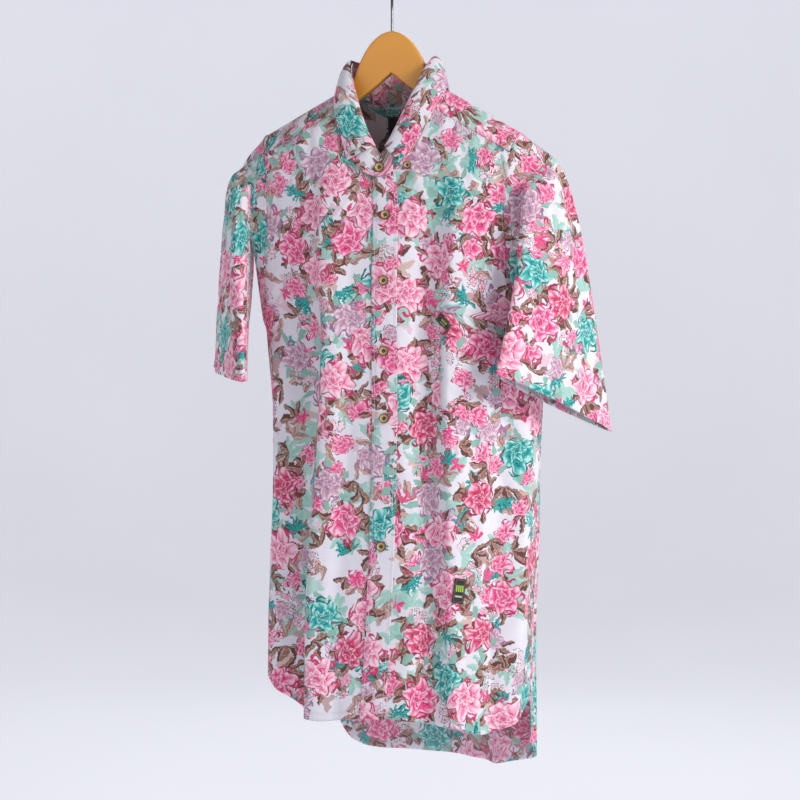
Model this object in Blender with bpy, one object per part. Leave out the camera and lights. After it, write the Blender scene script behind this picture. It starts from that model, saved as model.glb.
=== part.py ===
"""Short-sleeved floral shirt hung on a wooden hanger, modelled in metres, +Z up.

The origin is the inside top of the hanger's hook, where a rail carries it. The shirt faces -Y and the
wearer's left is +X. Every cloth panel is cut from one body surface, a ring of named half widths and depths
at each height, with the largest folds added from a short table. Each panel becomes a wall with Solidify.
"""
import math

import bpy
import numpy as np

# ---------------------------------------------------------------- driving dimensions
CLOTH = 0.0012            # wall thickness of one panel
SEAM = 0.0003             # gap left between neighbouring panels at a seam
NECK_GAP = 0.0020         # clear space between the collar stand and the panels' neck edge
ARMHOLE_GAP = 0.0018      # step out of the sleeve beyond the armhole seam
SLEEVE_RISE = 0.0006      # step up of the sleeve at the top of that seam
SIDE_GAP = 0.0014         # step back of the back panel behind the fronts at each side seam
LAYER = 0.0007            # clear space under a piece that lies on a panel
NECK_X = 0.060            # half width of the neck hole on the shoulder ridge
SHOULDER_X = 0.158        # where the armhole seam crosses the shoulder ridge
RIDGE_AT_NECK = -0.1475   # height of the shoulder ridge at NECK_X
RIDGE_SLOPE = 0.555       # mean fall of the ridge per metre outwards
RIDGE_LEAN = 0.045        # how much more the wearer's left shoulder falls, and the right one less
RIDGE_ROUND = 0.045       # depth below the ridge over which the cloth turns from flat to hanging
RIDGE_HALF = 0.004        # half thickness added to the cloth over the ridge
FRONT_YOKE = 0.029        # front yoke seam, below the ridge
BACK_YOKE_Z = -0.245      # height of the back yoke seam
UNDERARM_Z = -0.432       # bottom of the armhole
NECK_FRONT_Z = -0.254     # neckline at the centre front
NECK_BACK_Z = -0.163      # neckline at the centre back
PLACKET_W = 0.030         # width of the button band
PLACKET_LONGER = 0.001    # how far it reaches below the fronts
BUTTON_R = 0.0058         # shirt button radius
BUTTON_T = 0.0026         # shirt button thickness
HOOK_WIRE = 0.0032        # hook wire diameter
HOOK_R = 0.0170           # inside radius of the hook
HOOK_TURN = math.radians(18)
HOOK_START = math.radians(-38)   # where the circle begins, from the level
HOOK_STOP = math.radians(205)    # where it ends
HOOK_BEND_Z = -0.0560     # where the shank begins to bend
HOOK_PULL = 0.026         # how stiff the bend is
ARCH_TOP = -0.0800        # top of the hanger's arch
# The board's half outline, distance from the centre and height: its arch, its tip and its lower edge.
WOOD_ARCH = [(0.0080, -0.0822), (0.0170, -0.0880), (0.0270, -0.0945), (0.0350, -0.1050),
             (0.0405, -0.1160), (0.0440, -0.1270), (0.0480, -0.1390), (0.0560, -0.1500)]
WOOD_EASE = 0.0022        # rounding of the board's edges
ARM_X = (0.070, 0.164)    # where the arm follows the shoulders
WOOD_TIP = [(0.1670, -0.2125), (0.1690, -0.2170), (0.1685, -0.2215), (0.1660, -0.2245), (0.1620, -0.2255)]
WOOD_UNDER = [(0.150, -0.2195), (0.110, -0.1975), (0.070, -0.1760), (0.044, -0.1620), (0.020, -0.1455),
              (0.006, -0.1330), (0.0, -0.1300)]
WOOD_T = 0.012            # thickness of the hanger's board
WOOD_CLEAR = 0.0065       # from the shoulder ridge down to the top of the board's arms

# One row per height: x of the wearer's right side, x of the left side, y of the centre front, y of the
# centre back, y of the side seams, and how square the section is.
SECTION_COLUMNS = ("z", "right_side", "left_side", "front", "back", "seam", "square")
SECTIONS = np.array([
    (-0.100, -0.190, 0.190, -0.020, 0.056, 0.000, 2.0),
    (-0.165, -0.190, 0.190, -0.030, 0.057, 0.000, 2.0),
    (-0.235, -0.190, 0.190, -0.043, 0.058, 0.002, 2.0),
    (-0.330, -0.186, 0.188, -0.060, 0.062, 0.008, 1.9),
    (-0.432, -0.163, 0.180, -0.069, 0.070, 0.016, 1.8),
    (-0.520, -0.154, 0.178, -0.074, 0.078, 0.018, 1.9),
    (-0.640, -0.150, 0.173, -0.078, 0.088, 0.014, 2.1),
    (-0.760, -0.150, 0.168, -0.081, 0.096, 0.010, 2.2),
    (-0.960, -0.154, 0.163, -0.085, 0.104, 0.008, 2.3),
])

# One row per fold: place round the body at its top and foot (0 centre front, 1 left side seam, 2 centre
# back, -1 right side seam), the heights it runs between, its width each way along the ring in these
# units, and its height (a trough when negative).
FOLD_COLUMNS = ("q_top", "q_foot", "z_top", "z_foot", "before", "after", "height")
FOLDS = np.array([
    (-0.205, -0.300, -0.20, -1.00, 0.055, 0.110, 0.0120),
    (-0.400, -0.450, -0.30, -1.00, 0.110, 0.090, -0.0170),
    (-0.620, -0.640, -0.40, -1.00, 0.100, 0.120, 0.0080),
    (0.240, 0.250, -0.24, -1.00, 0.070, 0.045, -0.0100),
    (0.330, 0.345, -0.22, -1.00, 0.040, 0.120, 0.0100),
    (0.640, 0.600, -0.46, -1.00, 0.090, 0.090, -0.0080),
    (0.800, 0.760, -0.48, -1.00, 0.070, 0.090, 0.0070),
    (1.350, 1.300, -0.30, -1.05, 0.110, 0.080, 0.0110),
    (1.550, 1.520, -0.34, -1.05, 0.080, 0.100, -0.0100),
    (1.850, 1.870, -0.26, -1.05, 0.090, 0.070, 0.0080),
    (2.140, 2.160, -0.30, -1.05, 0.070, 0.090, -0.0090),
    (2.480, 2.520, -0.28, -1.05, 0.080, 0.110, 0.0110),
    (2.760, 2.760, -0.42, -1.05, 0.080, 0.070, -0.0080),
])
FOLD_FADE = 0.12          # height over which a fold grows in

# Middle of the placket: height and distance towards the wearer's left.
PLACKET_LINE = np.array([(-0.240, 0.003), (-0.295, 0.012), (-0.375, 0.013), (-0.455, 0.015),
                         (-0.540, 0.017), (-0.690, 0.015), (-0.800, 0.010), (-0.900, 0.004)])

# Armhole seen from the front: height and distance from the centre.
ARMHOLE = np.array([(-0.150, 0.160), (-0.199, 0.158), (-0.240, 0.149), (-0.300, 0.145),
                    (-0.360, 0.149), (-0.400, 0.157)])

# Hem seen round the body: place q, height of the edge.
FRONT_HEM = np.array([(-1.00, -0.812), (-0.84, -0.816), (-0.66, -0.842), (-0.45, -0.876),
                      (-0.25, -0.885), (0.00, -0.877), (0.30, -0.886), (0.55, -0.897),
                      (0.75, -0.885), (0.90, -0.868), (1.00, -0.862)])
BACK_HEM = np.array([(1.00, -0.862), (1.10, -0.905), (1.30, -0.938), (1.55, -0.952), (2.00, -0.944),
                     (2.28, -0.940), (2.38, -0.925), (2.48, -0.870), (2.70, -0.828), (3.00, -0.812)])

# Sleeve loops, wearer's left: height order, the folded front edge and the outer edge of the flattened
# tube, its half thickness, and how far the cloth is turned round the tube.
SLEEVE_COLUMNS = ("ix", "iy", "iz", "ox", "oy", "oz", "half", "turn")
SLEEVE_LEFT = np.array([
    (0.176, -0.036, -0.268, 0.199, 0.016, -0.252, 0.013, 0.75),
    (0.168, -0.067, -0.385, 0.229, 0.040, -0.392, 0.017, 0.62),
    (0.150, -0.082, -0.487, 0.250, 0.062, -0.552, 0.013, 0.50),
])
SLEEVE_RIGHT = np.array([
    (0.176, -0.036, -0.262, 0.1935, 0.018, -0.240, 0.013, 0.75),
    (0.168, -0.062, -0.370, 0.222, 0.048, -0.372, 0.017, 0.62),
    (0.156, -0.082, -0.494, 0.248, 0.060, -0.472, 0.014, 0.50),
])

# Collar, wearer's left, from the front tip round to the centre back: distance from the centre, height,
# and clearance outside the shirt.
LEAF_EDGE = np.array([(0.028, -0.2430, 0.0080), (0.043, -0.2160, 0.0075), (0.056, -0.1850, 0.0070),
                      (0.0650, -0.1620, 0.0070), (0.0685, -0.1440, 0.0030)])
LEAF_BACK = np.array([(0.062, -0.1590, 0.0120), (0.040, -0.1690, 0.0160), (0.000, -0.1720, 0.0180)])
ROLL_X = 0.049            # half width of the collar's roll line
ROLL_FRONT = (-0.040, -0.2290)
ROLL_BACK = (0.050, -0.1170)
ROLL_SIDE_Z = -0.1140

# Centre edges of the left (1) and right (-1) front, from the placket's middle.
FRONT_EDGE = {1: PLACKET_W / 2.0 + SEAM, -1: PLACKET_W / 3.0}

# Yoke rows: shares of the way from the ridge down to the back seam, and to the front seams.
YOKE_BACK = (1.0, 0.66, 0.38, 0.18, 0.06, 0.015, 0.0)
YOKE_FRONT = (0.02, 0.10, 0.30, 0.62, 1.0)

# Collar stand: turn at its right and left ends, where the left end starts to lap over the right one and
# over how much turn, how far its rows stay off the neckline and the roll, and its lift.
STAND_TURN = (-0.16, 0.30)
STAND_LAP = (0.50, 0.25)
STAND_INSET = 0.03
STAND_LIFT = 0.0016

# Collar leaf: turn left open on each side of the front, where its left end laps, its height over the roll,
# how far its inner row and its crown stand outside the roll, and its rows from roll to edge.
LEAF_OPEN = 0.10
LEAF_LAP = (0.60, 0.25)
LEAF_RISE = 0.0030
LEAF_START = 0.0028
LEAF_CROWN = 0.0130
LEAF_ROWS = (0.0, 0.12, 0.3, 0.6, 1.0)

# Grid sizes: columns and rows of each panel.
LEFT_GRID = (18, 18)
RIGHT_GRID = (17, 18)
BACK_GRID = (27, 15)
PLACKET_GRID = (4, 22)
SLEEVE_GRID = (24, 10)
TOP_STEPS = 14            # rounds in which a front's upper edge settles on its own columns
STAND_COLUMNS = 40
LEAF_COLUMNS = 36

# Pocket: its sides as shares of the way across the left front, the height of its top at the centre side,
# that edge's fall to the side, its depth, how much longer its point is, and its spare clearance.
POCKET = {"share0": 0.215, "share1": 0.580, "top": -0.412, "drop": 0.016, "deep": 0.122, "point": 0.014,
          "lift": 0.0014}

# Woven tabs: place on the front, width, height, tilt in degrees, and the layers that they lie on.
TABS = {
    "pocket_tab": {"q": 0.318, "z": -0.4270, "wide": 0.020, "high": 0.0085, "tilt": -48.0, "layers": 3},
    "hem_tab": {"q": 0.380, "z": -0.7310, "wide": 0.0140, "high": 0.0280, "tilt": -8.0, "layers": 1},
}
LABEL_X = 0.024           # half width of the label inside the back neck
LABEL_Z = (-0.199, -0.173)
LABEL_T = 0.0010

BUTTON_Z = (-0.3020, -0.3780, -0.4590, -0.5360, -0.6820)   # below the stand's own button
STAND_BUTTON_DROP = 0.0050    # the stand's button, below the middle of its height
COLLAR_BUTTON = {"q": 0.118, "z": -0.2440, "scale": 0.78}
STAND_BUTTON_TURN = 0.03      # that button's turn round the neck, towards the wearer's left
BUTTON_CLEAR = 0.0004     # clear space behind a button, beyond one layer
BUTTON_PROFILE = ((0.0, 0.0), (0.80, 0.0), (1.0, 0.35), (1.0, 0.75), (0.90, 1.0), (0.74, 1.0),
                  (0.64, 0.72), (0.0, 0.66))

# Name, red, green, blue, roughness, metallic.
FINISHES = {
    "print_cotton": (0.86, 0.70, 0.76, 0.85, 0.0),
    "label_weave": (0.008, 0.010, 0.012, 0.70, 0.0),
    "button_horn": (0.42, 0.25, 0.09, 0.45, 0.0),
    "honey_wood": (0.62, 0.31, 0.07, 0.40, 0.0),
    "hook_steel": (0.55, 0.55, 0.56, 0.25, 1.0),
}


def smooth(t):
    """Ease from 0 to 1 with level ends."""
    t = np.clip(t, 0.0, 1.0)
    return t * t * (3.0 - 2.0 * t)


def column(table, names, name, z):
    """Value of one named column of a table at height z, rows running downwards."""
    return np.interp(-np.asarray(z, float), -table[:, 0], table[:, names.index(name)])


def lean(x):
    """Drop of the leaning hanger's arms at a place x, beyond the neck."""
    return RIDGE_LEAN * np.sign(x) * np.maximum(np.abs(x) - NECK_X, 0.0)


def ridge(x):
    """Height of the shoulder ridge above a place x."""
    return RIDGE_AT_NECK - RIDGE_SLOPE * (np.abs(x) - NECK_X) - lean(x)


def fold_push(q, z):
    """Outward push of all the folds at place q round the body and height z."""
    push = np.zeros(np.broadcast(q, z).shape)
    for q_top, q_foot, z_top, z_foot, before, after, height in FOLDS:
        down = np.clip((z_top - z) / (z_top - z_foot), 0.0, 1.0)
        off = (q - (q_top + (q_foot - q_top) * down) + 2.0) % 4.0 - 2.0
        wide = np.where(off < 0.0, before, after)
        push = push + height * smooth((z_top - z) / FOLD_FADE) * np.exp(-(off / wide) ** 2)
    return push


def body(q, z, out=0.0):
    """Point on the shirt's outer face at place q round the body and height z, moved out by out metres.

    The ring is a superellipse through the named sides, front and back. Above the armhole it closes to
    the shoulder ridge along a quarter circle. Folds push it out along the ring's own outward direction.
    """
    q, z = np.broadcast_arrays(np.asarray(q, float), np.asarray(z, float))
    turn = q * math.pi / 2.0
    square = 2.0 / column(SECTIONS, SECTION_COLUMNS, "square", z)
    across = np.sign(np.sin(turn)) * np.abs(np.sin(turn)) ** square
    deep = -np.sign(np.cos(turn)) * np.abs(np.cos(turn)) ** square
    right = column(SECTIONS, SECTION_COLUMNS, "right_side", z)
    left = column(SECTIONS, SECTION_COLUMNS, "left_side", z)
    front = column(SECTIONS, SECTION_COLUMNS, "front", z)
    back = column(SECTIONS, SECTION_COLUMNS, "back", z)
    seam = column(SECTIONS, SECTION_COLUMNS, "seam", z)
    half = np.where(across > 0.0, left, -right)
    push = fold_push(q, z) + out
    x = across * (half + push)
    depth = np.where(deep > 0.0, back - seam, seam - front)
    below = np.clip((ridge(x) - z) / RIDGE_ROUND, 0.0, 1.0)
    over = np.sqrt(np.maximum(1.0 - (1.0 - below) ** 2, 0.0))
    y = seam * over + deep * ((depth + RIDGE_HALF) * over + push * smooth(below * 4.0))
    return np.stack([x, y, z + out * (1.0 - over)], axis=-1)


def armhole_x(z, name):
    """Distance of the armhole seam from the centre at height z, meeting the side seam at the underarm."""
    side = np.abs(column(SECTIONS, SECTION_COLUMNS, name, UNDERARM_Z))
    heights = np.append(ARMHOLE[:, 0], UNDERARM_Z)
    return np.interp(-np.asarray(z), -heights, np.append(ARMHOLE[:, 1], side))


def q_end(z, side):
    """Largest place q (0 to 1) that a front reaches at height z: the armhole, or 1 below it."""
    name = "left_side" if side > 0 else "right_side"
    half = np.abs(column(SECTIONS, SECTION_COLUMNS, name, z))
    square = 2.0 / column(SECTIONS, SECTION_COLUMNS, "square", z)
    blend = smooth((z - UNDERARM_Z) / 0.03)
    reach = np.minimum(armhole_x(z, name) / half, 1.0)
    reach = 1.0 - blend * (1.0 - reach)
    place = np.arcsin(reach ** (1.0 / square)) * 2.0 / math.pi
    return np.where(z > UNDERARM_Z, place, 1.0)


def neck_z(x, front):
    """Height of the neckline at distance x from the centre."""
    low = NECK_FRONT_Z if front else NECK_BACK_Z
    t = np.clip(np.abs(x) / NECK_X, 0.0, 1.0)
    return low + (RIDGE_AT_NECK - low) * (1.0 - np.sqrt(np.maximum(1.0 - t ** 2.0, 0.0))) ** 0.85


def hem_z(q, table):
    """Height of the hem at place q."""
    return np.interp(q, table[:, 0], table[:, 1])


def place_of_x(x, z):
    """Place q on the front for a distance x from the centre at height z, folds left out."""
    half = np.where(x > 0.0, column(SECTIONS, SECTION_COLUMNS, "left_side", z),
                    -column(SECTIONS, SECTION_COLUMNS, "right_side", z))
    square = 2.0 / column(SECTIONS, SECTION_COLUMNS, "square", z)
    return np.sign(x) * np.arcsin(np.clip(np.abs(x) / half, 0.0, 1.0) ** (1.0 / square)) * 2.0 / math.pi


def placket_place(z, across):
    """Place q on the placket, across metres to the wearer's left of its middle."""
    line = np.interp(-np.asarray(z, float), -PLACKET_LINE[:, 0], PLACKET_LINE[:, 1])
    return place_of_x(line + across, z)


def columns(q0, q1, count, fine, sharpness=2.5, spread=0.09):
    """Places from q0 to q1, closer together near the folds listed in fine."""
    q = np.linspace(q0, q1, 400)
    weight = 1.0 + sum(sharpness * np.exp(-((q - f) / spread) ** 2) for f in fine)
    total = np.concatenate([[0.0], np.cumsum((weight[1:] + weight[:-1]) / 2.0)])
    return np.interp(np.linspace(0.0, total[-1], count), total, q)


# ---------------------------------------------------------------- making solids
def finish_of(name):
    """Principled material of one finish, made once."""
    found = bpy.data.materials.get(name)
    if found:
        return found
    red, green, blue, rough, metal = FINISHES[name]
    material = bpy.data.materials.new(name)
    material.use_nodes = True
    shader = material.node_tree.nodes["Principled BSDF"]
    shader.inputs["Base Color"].default_value = (red, green, blue, 1.0)
    shader.inputs["Roughness"].default_value = rough
    shader.inputs["Metallic"].default_value = metal
    return material


def solid(name, points, faces, finish):
    """Object with its own mesh and material, shaded smooth."""
    mesh = bpy.data.meshes.new(name)
    mesh.from_pydata([tuple(map(float, p)) for p in points], [], faces)
    mesh.materials.append(finish_of(finish).copy())
    mesh.materials[0].name = name + "_finish"
    mesh.shade_smooth()
    piece = bpy.data.objects.new(name, mesh)
    bpy.context.scene.collection.objects.link(piece)
    return piece


def grid_faces(rows, cols, wrap=False, keep=None):
    """Quads of a grid whose columns run round the outside of a panel, facing out."""
    faces = []
    last = cols if wrap else cols - 1
    for r in range(rows - 1):
        for c in range(last):
            d = (c + 1) % cols
            if keep is None or keep(r, c):
                faces.append((r * cols + c, r * cols + d, (r + 1) * cols + d, (r + 1) * cols + c))
    return faces


def wall(name, grid, finish="print_cotton", thick=CLOTH, wrap=False, keep=None):
    """Cloth wall on a grid of points (rows, cols, 3), its thickness going inwards."""
    rows, cols = grid.shape[:2]
    faces = grid_faces(rows, cols, wrap, keep)
    used = sorted({v for face in faces for v in face})
    index = {v: i for i, v in enumerate(used)}
    points = grid.reshape(-1, 3)[used]
    piece = solid(name, points, [tuple(index[v] for v in face) for face in faces], finish)
    thickness = piece.modifiers.new("cloth", "SOLIDIFY")
    thickness.thickness = thick
    thickness.offset = -1.0
    thickness.use_even_offset = False
    return piece


# ---------------------------------------------------------------- panels
def front_top(x):
    """Height of a front's upper edge: the neckline, then the front yoke seam."""
    neck = neck_z(x, True) - NECK_GAP
    seam = ridge(x) - FRONT_YOKE
    return np.where(np.abs(x) < NECK_X, np.minimum(neck, seam), seam)


def front_places(side, count):
    """Shares of the way from a front's centre edge to its side, closer together near its folds."""
    fine = [side * f[1] for f in FOLDS if 0.0 < f[1] * side < 1.0]
    return columns(0.0, 1.0, count, fine)


def front_q(side, share, z):
    """Place q on a front: share 0 at its centre edge, 1 at the side seam or the armhole."""
    centre = side * placket_place(z, FRONT_EDGE[side])
    return side * (centre + share * (q_end(z, side) - centre))


def front_grid(side, count, rows):
    """Points of one front from its centre edge to the side seam, hem to top."""
    share = front_places(side, count)
    climb = np.linspace(0.0, 1.0, rows)[:, None]
    low = hem_z(side * share, FRONT_HEM)[None, :]
    top = np.full_like(low, RIDGE_AT_NECK)
    for _ in range(TOP_STEPS):
        top = front_top(body(front_q(side, share, top), top)[..., 0]) - SEAM
    z = low + (top - low) * climb
    points = body(front_q(side, share, z), z)
    return points if side > 0 else points[:, ::-1]


def make_fronts():
    """Both fronts: the right one runs on under the placket, the left one starts at the placket's seam."""
    wall("front_left", front_grid(1, *LEFT_GRID))
    wall("front_right", front_grid(-1, *RIGHT_GRID))


def make_placket():
    """Button band lying on the fronts from the neck to the hem."""
    count, rows = PLACKET_GRID
    across = np.linspace(-0.5, 0.5, count)[None, :] * PLACKET_W
    climb = np.linspace(0.0, 1.0, rows)[:, None]
    low = hem_z(0.0, FRONT_HEM) - PLACKET_LONGER
    z = low + (NECK_FRONT_Z - NECK_GAP - low) * climb
    wall("placket", body(placket_place(z, across), z, CLOTH + LAYER))


def back_grid(count, rows):
    """Points of the back from the left side seam round to the right one, hem to the back yoke seam."""
    place = np.linspace(-1.0, 1.0, count)[None, :]
    climb = np.linspace(0.0, 1.0, rows)[:, None]
    low = hem_z(2.0 + place, BACK_HEM)
    z = low + (BACK_YOKE_Z - SEAM - low) * climb
    left = q_end(z, 1)
    right = q_end(z, -1)
    reach = np.where(place < 0.0, left, right)
    q = 2.0 + place * reach
    return body(q, z)


def make_back():
    """Back panel, a seam's gap behind the fronts at each side."""
    grid = back_grid(*BACK_GRID)
    grid[:, 0, 1] += SIDE_GAP
    grid[:, -1, 1] += SIDE_GAP
    wall("back", grid)


def shoulder_point(x, drop, front, out=0.0):
    """Point over the shoulder at distance x from the centre, drop metres below the ridge."""
    z = ridge(x) - drop
    side = np.sign(x) + (x == 0)
    half = np.abs(column(SECTIONS, SECTION_COLUMNS, "left_side", z))
    square = 2.0 / column(SECTIONS, SECTION_COLUMNS, "square", z)
    q = np.arcsin(np.clip(np.abs(x) / half, 0.0, 1.0) ** (1.0 / square)) * 2.0 / math.pi
    q = side * q if front else 2.0 - side * q
    return body(q, z, out)


def yoke_x(x, z):
    """Column place x drawn in beyond the neck so that the yoke ends at the armhole seam at height z."""
    arm = armhole_x(z, "left_side") - SEAM
    beyond = np.maximum(np.abs(x) - NECK_X, 0.0) / (SHOULDER_X - NECK_X)
    return np.sign(x) * (np.minimum(np.abs(x), NECK_X) + beyond * (arm - NECK_X))


def make_yoke():
    """Yoke from the back seam over both shoulders to the front seams, open at the neck."""
    side = np.linspace(NECK_X, SHOULDER_X, 6)
    middle = np.linspace(-NECK_X, NECK_X, 11)[1:-1]
    x = np.concatenate([side[::-1], middle[::-1], -side])
    rows = []
    neck = np.abs(x) < NECK_X - 1e-6
    for share in YOKE_BACK:
        top = np.where(neck, neck_z(x, False) - NECK_GAP, ridge(x))
        z = top + (BACK_YOKE_Z + SEAM - top) * share
        place = yoke_x(x, z)
        rows.append(shoulder_point(place, ridge(place) - z, False))
    for drop in np.array(YOKE_FRONT) * (FRONT_YOKE - SEAM):
        place = yoke_x(x, ridge(x) - drop)
        rows.append(shoulder_point(place, np.full_like(x, drop), True))
    grid = np.stack(rows)
    shut = len(YOKE_BACK) - 1

    def keep(row, col):
        return row < shut or not (neck[col] or neck[(col + 1) % len(x)])

    wall("yoke", grid, keep=keep)


def blended(control, shares):
    """Cubic curve through every control loop, each slope half the step between a loop's neighbours."""
    slope = np.gradient(control, axis=0)
    at = np.clip(shares, 0.0, 1.0) * (len(control) - 1)
    first = np.minimum(at.astype(int), len(control) - 2)
    t = (at - first)[:, None, None]
    start, stop = control[first], control[first + 1]
    leave, arrive = slope[first], slope[first + 1]
    return ((2 * t ** 3 - 3 * t ** 2 + 1) * start + (t ** 3 - 2 * t ** 2 + t) * leave
            + (3 * t ** 2 - 2 * t ** 3) * stop + (t ** 3 - t ** 2) * arrive)


def make_sleeve(name, side, table):
    """Sleeve from the armhole to the hem: loops blended along the arm, the cloth turned round the tube."""
    count, rows = SLEEVE_GRID
    psi = np.linspace(0.0, 2.0 * math.pi, count, endpoint=False)
    top = ridge(side * SHOULDER_X) + SLEEVE_RISE
    mid = (top + UNDERARM_Z) / 2.0
    z = mid + (top - mid) * np.cos(psi)
    front = psi < math.pi
    end = np.where(front, q_end(z, side), 2.0 - q_end(z, side))
    loop = body(side * end, z)
    loop[..., 0] = side * (np.abs(loop[..., 0]) + ARMHOLE_GAP)
    loops = [loop]
    for ix, iy, iz, ox, oy, oz, half, turn in table:
        inner = np.array([ix, iy, iz])
        outer = np.array([ox, oy, oz])
        axis = (outer - inner) / 2.0
        thick = np.cross(axis, (0.0, 0.0, 1.0))
        thick = thick / np.linalg.norm(thick) * half
        angle = psi + turn * np.sin(psi / 2.0) ** 2
        ring = (inner + outer) / 2.0 + np.outer(np.cos(angle), axis) + np.outer(np.sin(angle), thick)
        ring[:, 0] *= side
        loops.append(ring)
    grid = blended(np.stack(loops), np.linspace(0.0, 1.0, rows))
    if side > 0:
        grid = grid[:, ::-1]
    wall(name, grid, wrap=True)


# ---------------------------------------------------------------- collar
def neck_ring(phi):
    """Neckline round the neck hole: phi 0 at the centre front, pi at the centre back."""
    x = NECK_X * np.sin(phi)
    front = np.cos(phi) >= 0.0
    z = np.where(front, neck_z(x, True), neck_z(x, False))
    ahead = shoulder_point(x, ridge(x) - z, True)
    behind = shoulder_point(x, ridge(x) - z, False)
    return np.where(front[:, None], ahead, behind)


def roll_ring(phi):
    """Roll line where the collar folds over, above the neckline."""
    x = ROLL_X * np.sin(phi)
    middle = (ROLL_BACK[0] + ROLL_FRONT[0]) / 2.0
    y = middle - (ROLL_BACK[0] - ROLL_FRONT[0]) / 2.0 * np.cos(phi)
    rise = np.abs(np.sin(phi)) ** 1.25
    end_z = np.where(np.cos(phi) > 0.0, ROLL_FRONT[1], ROLL_BACK[1])
    return np.stack([x, y, end_z + (ROLL_SIDE_Z - end_z) * rise], axis=-1)


def make_collar_stand():
    """Stand from the neckline to the roll line, its left end lapped over the right one at the front."""
    phi = np.linspace(STAND_TURN[0], 2.0 * math.pi + STAND_TURN[1], STAND_COLUMNS)
    low = neck_ring(phi)
    high = roll_ring(phi)
    lap = smooth((phi - 2.0 * math.pi + STAND_LAP[0]) / STAND_LAP[1])
    rows = []
    for share in (0.0, 0.5, 1.0):
        ring = low + (high - low) * (STAND_INSET + (1.0 - 2.0 * STAND_INSET) * share)
        ring[:, 1] -= lap * (CLOTH + LAYER)
        ring[:, 2] += STAND_LIFT
        rows.append(ring)
    wall("collar_stand", np.stack(rows))


def leaf_outline():
    """Outer edge of the leaf from the left tip round the back to the right tip."""
    front = shoulder_point(LEAF_EDGE[:, 0], ridge(LEAF_EDGE[:, 0]) - LEAF_EDGE[:, 1], True)
    front[:, 1] -= LEAF_EDGE[:, 2]
    behind = shoulder_point(LEAF_BACK[:, 0], ridge(LEAF_BACK[:, 0]) - LEAF_BACK[:, 1], False)
    behind[:, 1] += LEAF_BACK[:, 2]
    left = np.concatenate([front, behind])
    right = left[:-1][::-1] * np.array([-1.0, 1.0, 1.0])
    edge = np.concatenate([left, right])
    length = np.concatenate([[0.0], np.cumsum(np.linalg.norm(np.diff(edge, axis=0), axis=1))])
    return edge, length / length[-1]


def make_collar_leaf():
    """Leaf folded over the roll line and falling outwards to its edge, open at the front."""
    count = LEAF_COLUMNS
    phi = np.linspace(LEAF_OPEN, 2.0 * math.pi - LEAF_OPEN, count)
    edge, at = leaf_outline()
    along = np.linspace(0.0, 1.0, count)
    foot = np.stack([np.interp(along, at, edge[:, i]) for i in range(3)], axis=-1)
    roll = roll_ring(phi)
    flat = roll[:, :2] - np.array([0.0, 0.005])
    outward = np.zeros_like(roll)
    outward[:, :2] = flat / np.linalg.norm(flat, axis=1)[:, None]
    rise = np.array([0.0, 0.0, LEAF_RISE])
    over = smooth((phi - 2.0 * math.pi + LEAF_LAP[0]) / LEAF_LAP[1])[:, None]
    lap = over * np.array([0.0, CLOTH + LAYER, 0.0])
    start = roll + outward * LEAF_START + rise - lap
    crown = roll + outward * LEAF_CROWN + rise * 0.6 - lap
    rows = []
    for s in LEAF_ROWS:
        rows.append(start * (1 - s) ** 2 + crown * 2 * s * (1 - s) + foot * s ** 2)
    grid = np.stack(rows)[::-1]
    wall("collar_leaf", grid)


# ---------------------------------------------------------------- sewn-on trim


def make_pocket():
    """Patch pocket lying on the left front, its top edge falling to the side with the cloth."""
    share = front_places(1, LEFT_GRID[0])
    share = share[(share > POCKET["share0"]) & (share < POCKET["share1"])][None, :]
    across = (share - share[0, 0]) / (share[0, -1] - share[0, 0])
    climb = np.linspace(0.0, 1.0, 9)[:, None]
    point = POCKET["point"] * (0.7 - (1.0 - np.abs(2.0 * across - 1.0)))
    top = POCKET["top"] - POCKET["drop"] * across
    low = top - POCKET["deep"] + point
    z = low + (top - low) * climb
    wall("pocket", body(front_q(1, share, z), z, CLOTH + LAYER + POCKET["lift"]))


def outward(q, z, out):
    """Point of the front at a place, moved out, and the outward direction there."""
    across = body(q + 0.02, z, out) - body(q - 0.02, z, out)
    down = body(q, z - 0.01, out) - body(q, z + 0.01, out)
    normal = np.cross(down, across)
    return body(q, z, out), normal / np.linalg.norm(normal)


def make_tab(name, q, z, wide, high, tilt, layers):
    """Woven tab lying on what is under it, worked out from the body surface so that it follows it."""
    lift = (layers + 1) * (CLOTH + LAYER)
    scale_q = 0.04 / np.linalg.norm(body(q + 0.02, z) - body(q - 0.02, z))
    turn = math.radians(tilt)
    u = np.linspace(-0.5, 0.5, 4)[None, :] * wide
    v = np.linspace(-0.5, 0.5, 4)[:, None] * high
    dx = u * math.cos(turn) - v * math.sin(turn)
    dz = u * math.sin(turn) + v * math.cos(turn)
    wall(name, body(q + dx * scale_q, z + dz, lift), "label_weave")


def make_neck_label():
    """Label hanging flat on the inside of the yoke below the back neck."""
    x = np.linspace(LABEL_X, -LABEL_X, 5)[None, :]
    z = np.linspace(*LABEL_Z, 4)[:, None]
    points = shoulder_point(x + 0.0 * z, ridge(x) - z, False, -(2.0 * CLOTH + LAYER))
    wall("neck_label", points, "label_weave", thick=LABEL_T)


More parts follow.
